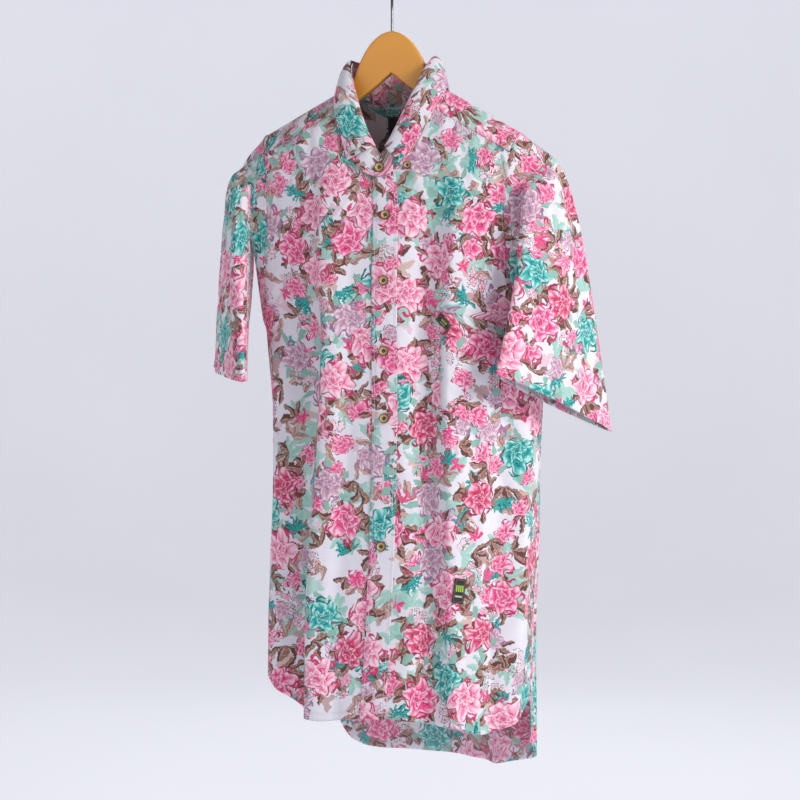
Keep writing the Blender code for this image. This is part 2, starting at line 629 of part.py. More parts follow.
def turned(name, profile, at, axis, finish, sides=18):
    """Solid turned about an axis: profile rows are (radius, height along the axis), closed on the axis."""
    normal = np.asarray(axis) / np.linalg.norm(axis)
    side = np.cross(normal, (0.0, 0.0, 1.0))
    side = side / np.linalg.norm(side)
    up = np.cross(side, normal)
    angle = np.linspace(0.0, 2.0 * math.pi, sides, endpoint=False)
    rim = np.outer(np.cos(angle), side) + np.outer(np.sin(angle), up)
    points = [at + normal * profile[0][1]]
    for radius, height in profile[1:-1]:
        points.extend(at + rim * radius + normal * height)
    points.append(at + normal * profile[-1][1])
    faces = []
    rings = len(profile) - 2
    for i in range(sides):
        j = (i + 1) % sides
        faces.append((0, 1 + i, 1 + j))
        for r in range(rings - 1):
            a = 1 + r * sides
            b = a + sides
            faces.append((a + i, b + i, b + j, a + j))
        a = 1 + (rings - 1) * sides
        faces.append((len(points) - 1, a + j, a + i))
    piece = solid(name, points, faces, finish)
    piece.data.set_sharp_from_angle(angle=math.radians(40))
    return piece


def make_button(name, at, normal, scale=1.0):
    """Dished shirt button with a raised rim, its back on the point at."""
    profile = [(r * BUTTON_R * scale, h * BUTTON_T * scale) for r, h in BUTTON_PROFILE]
    turned(name, profile, np.asarray(at), np.asarray(normal), "button_horn")


def make_buttons():
    """Buttons down the placket, one on the collar stand, and the small one at the left collar tip."""
    low = neck_ring(np.array([STAND_BUTTON_TURN]))[0]
    high = roll_ring(np.array([STAND_BUTTON_TURN]))[0]
    front = (low + high) / 2.0
    front = front + np.array([0.0, -4.0 * CLOTH - 3.0 * LAYER, -STAND_BUTTON_DROP])
    make_button("button_1", front, (0.0, -1.0, 0.05))
    for i, z in enumerate(BUTTON_Z):
        place = float(placket_place(z, 0.0))
        here, normal = outward(place, z, CLOTH + 2.0 * LAYER + BUTTON_CLEAR)
        make_button(f"button_{i + 2}", here, normal)
    here, normal = outward(COLLAR_BUTTON["q"], COLLAR_BUTTON["z"], LAYER + BUTTON_CLEAR)
    make_button("collar_button", here, normal, COLLAR_BUTTON["scale"])


# ---------------------------------------------------------------- hanger
def hanger_outline(side):
    """Half outline of the board, from the top of its arch out along the arm and back under to the notch."""
    arm = [(x, float(ridge(x) + lean(x)) - WOOD_CLEAR) for x in np.linspace(ARM_X[0], ARM_X[1], 7)]
    half = [(0.0, ARCH_TOP)] + WOOD_ARCH + arm + WOOD_TIP + WOOD_UNDER
    return [(side * x, z - float(lean(side * x))) for x, z in half]


def make_hanger():
    """Flat board with eased edges, and the steel hook standing in the top of its arch."""
    outline = hanger_outline(1) + hanger_outline(-1)[1:-1][::-1]
    count = len(outline)
    y = WOOD_T / 2.0
    points = [(x, -y, z) for x, z in outline] + [(x, y, z) for x, z in outline]
    sides = [(i, (i + 1) % count, count + (i + 1) % count, count + i) for i in range(count)]
    faces = [tuple(reversed(range(count))), tuple(range(count, 2 * count))] + sides
    wood = solid("hanger_wood", points, faces, "honey_wood")
    ease = wood.modifiers.new("eased_edges", "BEVEL")
    ease.width = WOOD_EASE
    ease.segments = 2
    ease.limit_method = "ANGLE"
    ease.angle_limit = math.radians(60)
    make_hook()


def hook_route():
    """Centre line of the hook: straight shank, an easy bend, and most of a circle about its own centre."""
    radius = HOOK_R + HOOK_WIRE / 2.0
    angle = np.linspace(HOOK_START, HOOK_STOP, 26)
    circle = np.stack([radius * np.cos(angle), -HOOK_R + radius * np.sin(angle)], axis=-1)
    foot = np.array([0.0, ARCH_TOP + SEAM])
    bend = np.array([0.0, HOOK_BEND_Z])
    t = np.linspace(0.0, 1.0, 9)[1:-1, None]
    up = np.array([0.0, HOOK_PULL])
    out = np.array([-math.sin(HOOK_START), math.cos(HOOK_START)]) * HOOK_PULL
    curve = ((2 * t ** 3 - 3 * t ** 2 + 1) * bend + (t ** 3 - 2 * t ** 2 + t) * up
             + (-2 * t ** 3 + 3 * t ** 2) * circle[0] + (t ** 3 - t ** 2) * out)
    route = np.concatenate([[foot], [(foot + bend) / 2.0], [bend], curve, circle])
    side = np.array([-math.sin(HOOK_TURN), math.cos(HOOK_TURN)])
    return np.column_stack([route[:, 0:1] * side, route[:, 1]])


def make_hook():
    """Steel wire hook as a round tube along its route."""
    route = hook_route()
    curve = bpy.data.curves.new("hanger_hook", "CURVE")
    curve.dimensions = "3D"
    curve.bevel_depth = HOOK_WIRE / 2.0
    curve.bevel_resolution = 4
    curve.use_fill_caps = True
    spline = curve.splines.new("POLY")
    spline.points.add(len(route) - 1)
    for point, place in zip(spline.points, route):
        point.co = (*map(float, place), 1.0)
    curve.materials.append(finish_of("hook_steel").copy())
    curve.materials[0].name = "hanger_hook_finish"
    hook = bpy.data.objects.new("hanger_hook", curve)
    bpy.context.scene.collection.objects.link(hook)


def main():
    """Clear the scene and make every sub-part."""
    for old in list(bpy.data.objects):
        bpy.data.objects.remove(old, do_unlink=True)
    make_fronts()
    make_placket()
    make_back()
    make_yoke()
    make_sleeve("sleeve_left", 1, SLEEVE_LEFT)
    make_sleeve("sleeve_right", -1, SLEEVE_RIGHT)
    make_collar_stand()
    make_collar_leaf()
    make_pocket()
    for name, tab in TABS.items():
        make_tab(name, **tab)
    make_neck_label()
    make_buttons()
    make_hanger()


main()
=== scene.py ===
# %% [markdown]
# # A short-sleeved floral shirt on a wooden hanger
#
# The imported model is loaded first. It fixes every place and size: the hook's inside top is the origin,
# the shirt faces -Y, the wearer's left is +X and heights are negative. Each plain cloth solid is then
# replaced by a fine shell on the same form, with its small creases, its hems and its print.

# %% The frame
import math

import bpy
import numpy as np
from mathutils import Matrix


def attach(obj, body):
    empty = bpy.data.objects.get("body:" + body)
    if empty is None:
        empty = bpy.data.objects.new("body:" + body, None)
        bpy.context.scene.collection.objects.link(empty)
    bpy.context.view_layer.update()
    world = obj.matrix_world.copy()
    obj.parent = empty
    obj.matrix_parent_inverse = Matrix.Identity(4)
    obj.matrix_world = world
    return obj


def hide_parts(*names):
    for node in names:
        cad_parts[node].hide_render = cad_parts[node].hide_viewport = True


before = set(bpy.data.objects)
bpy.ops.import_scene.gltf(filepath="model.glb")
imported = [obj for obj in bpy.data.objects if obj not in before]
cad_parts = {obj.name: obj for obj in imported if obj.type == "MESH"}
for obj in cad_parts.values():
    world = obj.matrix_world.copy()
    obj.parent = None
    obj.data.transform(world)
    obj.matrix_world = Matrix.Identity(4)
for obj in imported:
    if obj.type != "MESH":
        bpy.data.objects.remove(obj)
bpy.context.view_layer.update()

# %% [markdown]
# ## Camera, light and room
#
# The shirt is seen from a little to the wearer's left with a long lens, so its sides hardly converge.
# A long lens could be replaced by an orthographic camera, but the hanger's near end is a little larger
# than its far end, which only a perspective camera gives. The light is one broad soft source high on the
# right, which makes each fold bright on one side and shaded on the other, with a weak fill on the left and
# a soft light behind for the backdrop and the shirt's edges.

# %% Camera
TURN = math.radians(18.0)          # how far the camera stands round to the wearer's left
DISTANCE = 2.5                     # from the hanger's plane
ACROSS = 0.0094                    # the view's middle, to the right of the hook
MIDDLE_Z = -0.515                  # the view's middle height
VIEW_WIDTH = 0.944                 # what the view spans at the hanger's plane
SENSOR_MM = 36.0

side_way = np.array([math.cos(TURN), math.sin(TURN), 0.0])
back_way = np.array([math.sin(TURN), -math.cos(TURN), 0.0])
camera_data = bpy.data.cameras.new("camera")
camera_data.sensor_width = SENSOR_MM
camera_data.lens = SENSOR_MM * DISTANCE / VIEW_WIDTH
camera = bpy.data.objects.new("camera", camera_data)
camera.location = side_way * ACROSS + back_way * DISTANCE + np.array([0.0, 0.0, MIDDLE_Z])
camera.rotation_euler = (math.pi / 2.0, 0.0, TURN)
bpy.context.scene.collection.objects.link(camera)
bpy.context.scene.camera = camera
print(f"lens {camera_data.lens:.1f} mm at {DISTANCE} m")

# %% Lights


def area_light(name, place, aim, size, watts, colour):
    """Square soft light at a place, turned to face a point."""
    data = bpy.data.lights.new(name, "AREA")
    data.size = size
    data.energy = watts
    data.color = colour
    lamp = bpy.data.objects.new(name, data)
    way = np.array(aim) - np.array(place)
    flat = math.hypot(way[0], way[1])
    lamp.rotation_euler = (math.atan2(flat, -way[2]), 0.0, math.atan2(way[1], way[0]) - math.pi / 2.0)
    lamp.location = place
    lamp.visible_camera = False
    bpy.context.scene.collection.objects.link(lamp)


# Each lamp: its place, what it faces, its side in metres, its power in watts and its colour.
LAMPS = {
    "key": ((2.3, -0.85, 0.6), (0.0, 0.0, -0.5), 0.9, 52.0, (1.0, 0.99, 0.975)),
    "fill": ((-1.5, -2.4, 0.2), (0.0, 0.0, -0.5), 2.2, 7.0, (0.94, 0.96, 1.0)),
    "behind": ((-0.6, 2.2, 1.0), (0.0, 0.0, -0.4), 2.2, 22.0, (0.97, 0.98, 1.0)),
}
ROOM_COLOUR = (0.88, 0.88, 0.92, 1.0)
ROOM_LIGHT = 0.27
for lamp_name, lamp_values in LAMPS.items():
    area_light(lamp_name, *lamp_values)
world = bpy.data.worlds.new("world")
world.use_nodes = True
background = world.node_tree.nodes["Background"]
background.inputs["Color"].default_value = ROOM_COLOUR
background.inputs["Strength"].default_value = ROOM_LIGHT
bpy.context.scene.world = world
bpy.context.scene.view_settings.view_transform = "Standard"
print("lamps", len(LAMPS))

# %% [markdown]
# ## Making a surface
#
# Every new piece is a grid of points worked out at once with numpy. A grid could be filled by bmesh one
# face at a time, but whole arrays are quicker and shorter. The helper also writes the piece's own UV map in
# metres of cloth, so that the print and the weave run at their real size, and named attributes, such as how
# far each point is from the nearest stitch line and how far along that line it is, which the stitching reads.

# %% Grid to mesh


def grid_quads(rows, cols, wrap=False, keep=None):
    """Corner numbers of the quads of a grid, row by row, as one array; keep masks quads away."""
    r, c = np.meshgrid(np.arange(rows - 1), np.arange(cols if wrap else cols - 1), indexing="ij")
    d = (c + 1) % cols
    quads = np.stack([r * cols + c, r * cols + d, (r + 1) * cols + d, (r + 1) * cols + c], axis=-1)
    return quads[keep] if keep is not None else quads.reshape(-1, 4)


def mesh_piece(name, points, quads, materials, uv=None, fields=None):
    """Object from an array of points and quads, with an optional UV per point and named point fields."""
    used, quads = np.unique(quads, return_inverse=True)
    quads = quads.reshape(-1, 4)
    mesh = bpy.data.meshes.new(name)
    mesh.vertices.add(len(used))
    mesh.vertices.foreach_set("co", points.reshape(-1, 3)[used].astype(np.float32).ravel())
    mesh.loops.add(quads.size)
    mesh.loops.foreach_set("vertex_index", quads.astype(np.int32).ravel())
    mesh.polygons.add(len(quads))
    mesh.polygons.foreach_set("loop_start", np.arange(0, quads.size, 4, dtype=np.int32))
    mesh.update(calc_edges=True)
    if uv is not None:
        layer = mesh.uv_layers.new(name="cloth")
        layer.data.foreach_set("uv", uv.reshape(-1, 2)[used][quads.ravel()].astype(np.float32).ravel())
    for key, values in (fields or {}).items():
        field = mesh.attributes.new(key, "FLOAT", "POINT")
        field.data.foreach_set("value", values.ravel()[used].astype(np.float32))
    for material in materials:
        mesh.materials.append(material)
    mesh.validate()
    mesh.shade_smooth()
    piece = bpy.data.objects.new(name, mesh)
    bpy.context.scene.collection.objects.link(piece)
    return piece


def stands_for(piece, node):
    """Hang a finished piece on the one body, in place of the solid of a node, which is hidden."""
    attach(piece, "root")
    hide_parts(node)


def welded(piece, name, gap=2e-6):
    """Join the points that meet where a grid closes on itself."""
    weld = piece.modifiers.new(name, "WELD")
    weld.merge_threshold = gap


def run_length(grid, axis):
    """Length along the grid's rows (axis 1) or columns (axis 0), starting at 0."""
    steps = np.linalg.norm(np.diff(grid, axis=axis), axis=-1)
    pad = [(1, 0), (0, 0)] if axis == 0 else [(0, 0), (1, 0)]
    return np.pad(np.cumsum(steps, axis=axis), pad)


# %% [markdown]
# ## The shirt's form
#
# The body is a ring at every height. Half widths, depths and how square it is come from one short table,
# and the big folds from another. Below the shoulders the ring hangs straight, and above them it closes
# over the hanger's arms along a quarter circle. The same tables made the solids, so that the fine cloth
# lies where they are.

# %% Tables of the form
NECK_X = 0.060
SHOULDER_X = 0.158
RIDGE_AT_NECK = -0.1475
RIDGE_SLOPE = 0.555
RIDGE_LEAN = 0.045                 # the wearer's left shoulder falls by this much more, the right one less
RIDGE_ROUND = 0.045
RIDGE_HALF = 0.004
FRONT_YOKE = 0.029
BACK_YOKE_Z = -0.245
UNDERARM_Z = -0.432
NECK_FRONT_Z = -0.254
NECK_BACK_Z = -0.163
NECK_GAP = 0.0006
PLACKET_W = 0.030
SEAM = 0.0002
SHELL = 0.0008                     # thickness of the visible cloth
WALL = 0.0012                      # thickness of the solids' cloth
CLEAR = 0.0007                     # what the solids' layers keep between them
NECK_CUT = 0.0020                  # how far the panels stop below the neckline

SECTION_COLUMNS = ("z", "right_side", "left_side", "front", "back", "seam", "square")
SECTIONS = np.array([
    (-0.100, -0.190, 0.190, -0.020, 0.056, 0.000, 2.0),
    (-0.165, -0.190, 0.190, -0.030, 0.057, 0.000, 2.0),
    (-0.235, -0.190, 0.190, -0.043, 0.058, 0.002, 2.0),
    (-0.330, -0.186, 0.188, -0.060, 0.062, 0.008, 1.9),
    (-0.432, -0.163, 0.180, -0.069, 0.070, 0.016, 1.8),
    (-0.520, -0.154, 0.178, -0.074, 0.078, 0.018, 1.9),
    (-0.640, -0.150, 0.173, -0.078, 0.088, 0.014, 2.1),
    (-0.760, -0.150, 0.168, -0.081, 0.096, 0.010, 2.2),
    (-0.960, -0.154, 0.163, -0.085, 0.104, 0.008, 2.3),
])

# Place round the body at a fold's top and foot (0 centre front, 1 left side seam, 2 centre back, -1 right
# side seam), the heights it runs between, its width each way in these units, and its height in metres.
FOLD_COLUMNS = ("q_top", "q_foot", "z_top", "z_foot", "before", "after", "height")
FOLDS = np.array([
    (-0.205, -0.300, -0.20, -1.00, 0.050, 0.110, 0.0130),
    (-0.400, -0.450, -0.30, -1.00, 0.110, 0.090, -0.0180),
    (-0.620, -0.640, -0.40, -1.00, 0.100, 0.120, 0.0080),
    (0.240, 0.250, -0.24, -1.00, 0.070, 0.045, -0.0105),
    (0.330, 0.345, -0.22, -1.00, 0.036, 0.120, 0.0105),
    (0.640, 0.600, -0.46, -1.00, 0.090, 0.090, -0.0080),
    (0.800, 0.760, -0.48, -1.00, 0.070, 0.090, 0.0070),
    (1.350, 1.300, -0.30, -1.05, 0.110, 0.080, 0.0110),
    (1.550, 1.520, -0.34, -1.05, 0.080, 0.100, -0.0100),
    (1.850, 1.870, -0.26, -1.05, 0.090, 0.070, 0.0080),
    (2.140, 2.160, -0.30, -1.05, 0.070, 0.090, -0.0090),
    (2.480, 2.520, -0.28, -1.05, 0.080, 0.110, 0.0110),
    (2.760, 2.760, -0.42, -1.05, 0.080, 0.070, -0.0080),
    (-0.115, -0.150, -0.30, -0.86, 0.035, 0.040, -0.0022),
    (0.150, 0.160, -0.36, -0.80, 0.030, 0.045, 0.0016),
    (0.460, 0.440, -0.52, -1.00, 0.040, 0.050, -0.0024),
    (0.530, 0.520, -0.25, -0.66, 0.045, 0.040, 0.0020),
    (-0.520, -0.560, -0.34, -0.80, 0.035, 0.045, 0.0026),
    (-0.800, -0.800, -0.50, -0.98, 0.045, 0.050, -0.0030),
    (1.180, 1.150, -0.50, -1.02, 0.050, 0.040, -0.0030),
    (1.700, 1.690, -0.27, -0.70, 0.040, 0.040, 0.0020),
    (2.300, 2.330, -0.27, -0.90, 0.045, 0.050, 0.0026),
    (2.620, 2.640, -0.46, -1.02, 0.040, 0.040, 0.0024),
])
FOLD_FADE = 0.12

PLACKET_LINE = np.array([(-0.240, 0.003), (-0.295, 0.012), (-0.375, 0.013), (-0.455, 0.015),
                         (-0.540, 0.017), (-0.690, 0.015), (-0.800, 0.010), (-0.900, 0.004)])
ARMHOLE = np.array([(-0.150, 0.160), (-0.199, 0.158), (-0.240, 0.149), (-0.300, 0.145),
                    (-0.360, 0.149), (-0.400, 0.157)])
FRONT_HEM = np.array([(-1.00, -0.812), (-0.84, -0.816), (-0.66, -0.842), (-0.45, -0.876),
                      (-0.25, -0.885), (0.00, -0.877), (0.30, -0.886), (0.55, -0.897),
                      (0.75, -0.885), (0.90, -0.868), (1.00, -0.862)])
BACK_HEM = np.array([(1.00, -0.862), (1.10, -0.905), (1.30, -0.938), (1.55, -0.952), (2.00, -0.944),
                     (2.28, -0.940), (2.38, -0.925), (2.48, -0.870), (2.70, -0.828), (3.00, -0.812)])

# %% [markdown]
# ## Small creases
#
# A hung cotton shirt keeps short creases from being worn and folded: drags running up to the armholes, a
# few soft dents beside the button band and across the chest and back. Cloth simulation could make some,
# but they would fall at random. Here each is one row: where it lies, how it is tilted, how long, wide and
# deep it is. Its cross-section is a trough with a low bank on each side, which is how a real crease sits.

# %% Creases
CREASE_COLUMNS = ("q", "z", "tilt_degrees", "half_length", "half_width", "depth")
CREASES = np.array([
    (-0.30, -0.330, 62, 0.050, 0.0060, 0.0016), (-0.46, -0.355, 48, 0.060, 0.0070, 0.0022),
    (-0.60, -0.395, 35, 0.055, 0.0060, 0.0020), (-0.72, -0.440, 28, 0.048, 0.0055, 0.0018),
    (-0.38, -0.480, 80, 0.080, 0.0065, 0.0012), (-0.16, -0.560, 84, 0.070, 0.0060, 0.0010),
    (-0.55, -0.600, 70, 0.075, 0.0070, 0.0014), (-0.22, -0.760, 96, 0.060, 0.0060, 0.0012),
    (-0.66, -0.720, 76, 0.070, 0.0060, 0.0013), (-0.10, -0.290, 70, 0.030, 0.0050, 0.0010),
    (0.16, -0.275, -66, 0.036, 0.0050, 0.0012), (0.42, -0.300, -78, 0.050, 0.0060, 0.0014),
    (0.56, -0.345, -58, 0.060, 0.0065, 0.0018), (0.20, -0.500, -84, 0.065, 0.0060, 0.0010),
    (0.50, -0.590, -74, 0.085, 0.0070, 0.0015), (0.66, -0.540, -50, 0.060, 0.0070, 0.0018),
    (0.74, -0.640, -62, 0.070, 0.0065, 0.0014), (0.16, -0.690, -96, 0.060, 0.0055, 0.0009),
    (0.42, -0.790, -86, 0.060, 0.0060, 0.0013), (0.62, -0.810, -80, 0.050, 0.0060, 0.0012),
    (1.30, -0.420, 55, 0.070, 0.0075, 0.0020), (1.46, -0.520, 66, 0.080, 0.0075, 0.0016),
    (1.76, -0.340, 82, 0.060, 0.0065, 0.0013), (1.92, -0.600, 94, 0.090, 0.0075, 0.0014),
    (2.20, -0.420, -80, 0.070, 0.0070, 0.0014), (2.42, -0.520, -64, 0.080, 0.0075, 0.0016),
    (2.60, -0.400, -50, 0.060, 0.0070, 0.0020), (2.72, -0.620, -70, 0.080, 0.0070, 0.0014),
    (1.60, -0.780, 78, 0.080, 0.0075, 0.0014), (2.10, -0.800, -84, 0.080, 0.0070, 0.0013),
    (1.14, -0.600, 70, 0.070, 0.0065, 0.0014), (2.86, -0.560, -66, 0.060, 0.0060, 0.0013),
])
METRES_PER_Q = 0.235               # rough length of one unit of q round the body


def smooth(t):
    """Ease from 0 to 1 with level ends: 3t^2 - 2t^3."""
    t = np.clip(t, 0.0, 1.0)
    return t * t * (3.0 - 2.0 * t)


def column(table, names, name, z):
    """Value of one named column at height z, with the rows running downwards."""
    return np.interp(-np.asarray(z, float), -table[:, 0], table[:, names.index(name)])


def around(q):
    """Distance round the ring brought to -2..2."""
    return (q + 2.0) % 4.0 - 2.0


def fold_push(q, z):
    """Sum of the folds: each is a bell across the ring, wider on one side, that grows in below its top."""
    push = np.zeros(np.broadcast(q, z).shape)
    for q_top, q_foot, z_top, z_foot, before, after, height in FOLDS:
        down = np.clip((z_top - z) / (z_top - z_foot), 0.0, 1.0)
        sway = 0.012 * np.sin(z * 17.0 + q_top * 9.0)
        off = around(q - (q_top + (q_foot - q_top) * down) - sway * down)
        wide = np.where(off < 0.0, before, after)
        swell = 1.0 + 0.16 * np.sin(z * 23.0 + q_top * 31.0)
        push = push + height * swell * smooth((z_top - z) / FOLD_FADE) * np.exp(-(off / wide) ** 2)
    return push


def crease_push(q, z):
    """Sum of the short creases: (1 - 1.6 b^2) e^(-b^2) across and a bell along, b in half widths."""
    push = np.zeros(np.broadcast(q, z).shape)
    for q0, z0, tilt, half_length, half_width, depth in CREASES:
        turn = math.radians(tilt)
        sideways = around(q - q0) * METRES_PER_Q
        upwards = z - z0
        along = (sideways * math.cos(turn) + upwards * math.sin(turn)) / half_length
        bend = 0.12 * half_length * along ** 2
        across = (-sideways * math.sin(turn) + upwards * math.cos(turn) + bend) / half_width
        push = push - depth * (1.0 - 1.6 * across ** 2) * np.exp(-across ** 2 - along ** 2)
    return push


def lean(x):
    """Drop of the leaning hanger's arms at a place x, beyond the neck."""
    return RIDGE_LEAN * np.sign(x) * np.maximum(np.abs(x) - NECK_X, 0.0)


def ridge(x):
    """Height of the shoulder ridge above a place x."""
    return RIDGE_AT_NECK - RIDGE_SLOPE * (np.abs(x) - NECK_X) - lean(x)


def body(q, z, out=0.0, crease=1.0):
    """Outer face of the shirt at place q round the body and height z, moved out by out metres.

    The ring is a superellipse: x goes as sin(turn) and y as -cos(turn), each to the power 2 / square.
    Its push outwards is the folds and creases. Above the armhole, y closes to the ridge along a quarter
    circle of the depth below the ridge.
    """
    q, z = np.broadcast_arrays(np.asarray(q, float), np.asarray(z, float))
    turn = q * math.pi / 2.0
    square = 2.0 / column(SECTIONS, SECTION_COLUMNS, "square", z)
    across = np.sign(np.sin(turn)) * np.abs(np.sin(turn)) ** square
    deep = -np.sign(np.cos(turn)) * np.abs(np.cos(turn)) ** square
    right = column(SECTIONS, SECTION_COLUMNS, "right_side", z)
    left = column(SECTIONS, SECTION_COLUMNS, "left_side", z)
    front = column(SECTIONS, SECTION_COLUMNS, "front", z)
    back = column(SECTIONS, SECTION_COLUMNS, "back", z)
    seam = column(SECTIONS, SECTION_COLUMNS, "seam", z)
    half = np.where(across > 0.0, left, -right)
    push = fold_push(q, z) + crease * crease_push(q, z) + out
    x = across * (half + push)
    depth = np.where(deep > 0.0, back - seam, seam - front)
    below = np.clip((ridge(x) - z) / RIDGE_ROUND, 0.0, 1.0)
    over = np.sqrt(np.maximum(1.0 - (1.0 - below) ** 2, 0.0))
    y = seam * over + deep * ((depth + RIDGE_HALF) * over + push * smooth(below * 4.0))
    return np.stack([x, y, z + out * (1.0 - over)], axis=-1)


def armhole_x(z, name):
    """Distance of the armhole seam from the centre at height z."""
    side = np.abs(column(SECTIONS, SECTION_COLUMNS, name, UNDERARM_Z))
    heights = np.append(ARMHOLE[:, 0], UNDERARM_Z)
    return np.interp(-np.asarray(z), -heights, np.append(ARMHOLE[:, 1], side))


def q_end(z, side):
    """Largest place q, 0 to 1, that a front reaches at height z: the armhole, or 1 below it."""
    name = "left_side" if side > 0 else "right_side"
    half = np.abs(column(SECTIONS, SECTION_COLUMNS, name, z))
    square = 2.0 / column(SECTIONS, SECTION_COLUMNS, "square", z)
    blend = smooth((z - UNDERARM_Z) / 0.03)
    reach = np.minimum(armhole_x(z, name) / half, 1.0)
    reach = 1.0 - blend * (1.0 - reach)
    place = np.arcsin(reach ** (1.0 / square)) * 2.0 / math.pi
    return np.where(z > UNDERARM_Z, place, 1.0)


def neck_z(x, front):
    """Height of the neckline at distance x from the centre."""
    low = NECK_FRONT_Z if front else NECK_BACK_Z
    t = np.clip(np.abs(x) / NECK_X, 0.0, 1.0)
    return low + (RIDGE_AT_NECK - low) * (1.0 - np.sqrt(np.maximum(1.0 - t ** 2.0, 0.0))) ** 0.85


def hem_z(q, table):
    """Height of the hem at place q, its corners eased by averaging over a short stretch."""
    spread = np.linspace(-0.05, 0.05, 9)
    return sum(np.interp(q + s, table[:, 0], table[:, 1]) for s in spread) / len(spread)


def place_of_x(x, z):
    """Place q on the front for a distance x from the centre at height z, folds left out."""
    half = np.where(x > 0.0, column(SECTIONS, SECTION_COLUMNS, "left_side", z),
                    -column(SECTIONS, SECTION_COLUMNS, "right_side", z))
    square = 2.0 / column(SECTIONS, SECTION_COLUMNS, "square", z)
    return np.sign(x) * np.arcsin(np.clip(np.abs(x) / half, 0.0, 1.0) ** (1.0 / square)) * 2.0 / math.pi


def placket_place(z, across):
    """Place q on the placket, across metres to the wearer's left of its middle."""
    line = np.interp(-np.asarray(z, float), -PLACKET_LINE[:, 0], PLACKET_LINE[:, 1])
    return place_of_x(line + across, z)


def shoulder_point(x, drop, front, out=0.0):
    """Point over the shoulder at distance x from the centre, drop metres below the ridge."""
    z = ridge(x) - drop
    side = np.where(x < 0.0, -1.0, 1.0)
    half = np.abs(column(SECTIONS, SECTION_COLUMNS, "left_side", z))
    square = 2.0 / column(SECTIONS, SECTION_COLUMNS, "square", z)
    q = np.arcsin(np.clip(np.abs(x) / half, 0.0, 1.0) ** (1.0 / square)) * 2.0 / math.pi
    return body(side * q if front else 2.0 - side * q, z, out)


print("front depth at the chest", round(float(body(0.0, -0.45)[1]), 4))

# %% [markdown]
# ## From a grid to a sewn panel
#
# A panel is a grid on the form, a thin wall given by Solidify, and the marks of sewing. Where thread pulls
# cotton, it puckers: small even waves that fade a finger's width from the seam. They could be a bump in the
# material, but they show in the outline of hems and bands, so the points themselves are moved. The same
# distances to the stitch lines go along as attributes, so that the thread is drawn exactly where the
# puckers are.

# %% Sewn panel helpers
PUCKER_WAVE = 0.0072               # spacing of the waves along a seam
PUCKER_FADE = 0.0085               # how far they reach into the cloth
HEM_PUCKER = 0.00034               # their height at a hem
SEAM_PUCKER = 0.00050              # at a seam
YOKE_PUCKER = 0.00040              # at the yoke, which is double
EDGE_PUCKER = 0.00022              # at a stitched edge
FAR = 1.0                          # stands for no stitching near


def outward(grid, wrap=False):
    """Unit normals of a grid: the cross product of its steps along a row and up a column."""
    if wrap:
        along = np.roll(grid, -1, axis=1) - np.roll(grid, 1, axis=1)
    else:
        along = np.gradient(grid, axis=1)
    climb = np.gradient(grid, axis=0)
    normal = np.cross(along, climb)
    return normal / np.maximum(np.linalg.norm(normal, axis=-1, keepdims=True), 1e-12)


def puckered(grid, away, run, high, seed, wrap=False):
    """Grid with waves along a seam: sin of the run, uneven, times e^-(away / fade), moved along normals."""
    phase = run / PUCKER_WAVE * 2.0 * math.pi
    wave = np.sin(phase + 1.3 * np.sin(phase * 0.23 + seed)) * (0.7 + 0.3 * np.sin(phase * 0.11 + seed))
    amount = high * wave * np.exp(-np.abs(away) / PUCKER_FADE)
    return grid + outward(grid, wrap) * amount[..., None]


def level_uv(grid, middle=0):
    """Print places of a hanging panel: the level distance along a row from one column, and the height."""
    step = np.linalg.norm(np.diff(grid[..., :2], axis=1), axis=-1)
    across = np.pad(np.cumsum(step, axis=1), [(0, 0), (1, 0)])
    return np.stack([across - across[:, middle][:, None], grid[..., 2]], axis=-1)


def nearest(*lines):
    """Distance to the nearest of several stitch lines and the run along that one, point by point."""
    away = np.stack([np.abs(line[0]) for line in lines])
    run = np.stack([line[1] for line in lines])
    pick = np.argmin(away, axis=0)[None]
    return np.take_along_axis(away, pick, 0)[0], np.take_along_axis(run, pick, 0)[0]


def panel_area(grid, wrap=False):
    """Area of a grid in square metres: the sum of its quads, each half the cross of its diagonals."""
    if wrap:
        grid = np.concatenate([grid, grid[:, :1]], axis=1)
    one = grid[1:, 1:] - grid[:-1, :-1]
    two = grid[1:, :-1] - grid[:-1, 1:]
    return float(np.linalg.norm(np.cross(one, two), axis=-1).sum() / 2.0)


def run_uv(grid):
    """Print places of a rolled or turned panel: runs along its rows, from their middles, and columns."""
    across = run_length(grid, 1)
    upward = run_length(grid, 0)
    return np.stack([across - across[:, -1:] / 2.0, upward - upward[-1:, :]], axis=-1)


def draped_uv(grid, middle):
    """Print places of a slanting panel: the steps along one column, then those along each row.

    Each step is measured level across the cloth, along up x normal, and straight up its slope.
    """
    normal = outward(grid)
    level = np.cross((0.0, 0.0, 1.0), normal)
    level = level / np.maximum(np.linalg.norm(level, axis=-1, keepdims=True), 1e-6)
    ways = np.stack([level, np.cross(normal, level)], axis=-2)
    across = np.diff(grid, axis=1)[..., None, :] * (ways[:, 1:] + ways[:, :-1]) / 2.0
    across = np.pad(np.cumsum(across.sum(-1), axis=1), [(0, 0), (1, 0), (0, 0)])
    line, way = grid[:, middle], ways[:, middle]
    climb = np.diff(line, axis=0)[:, None, :] * (way[1:] + way[:-1]) / 2.0
    climb = np.pad(np.cumsum(climb.sum(-1), axis=0), [(1, 0), (0, 0)])
    return across - across[:, middle][:, None] + climb[:, None]


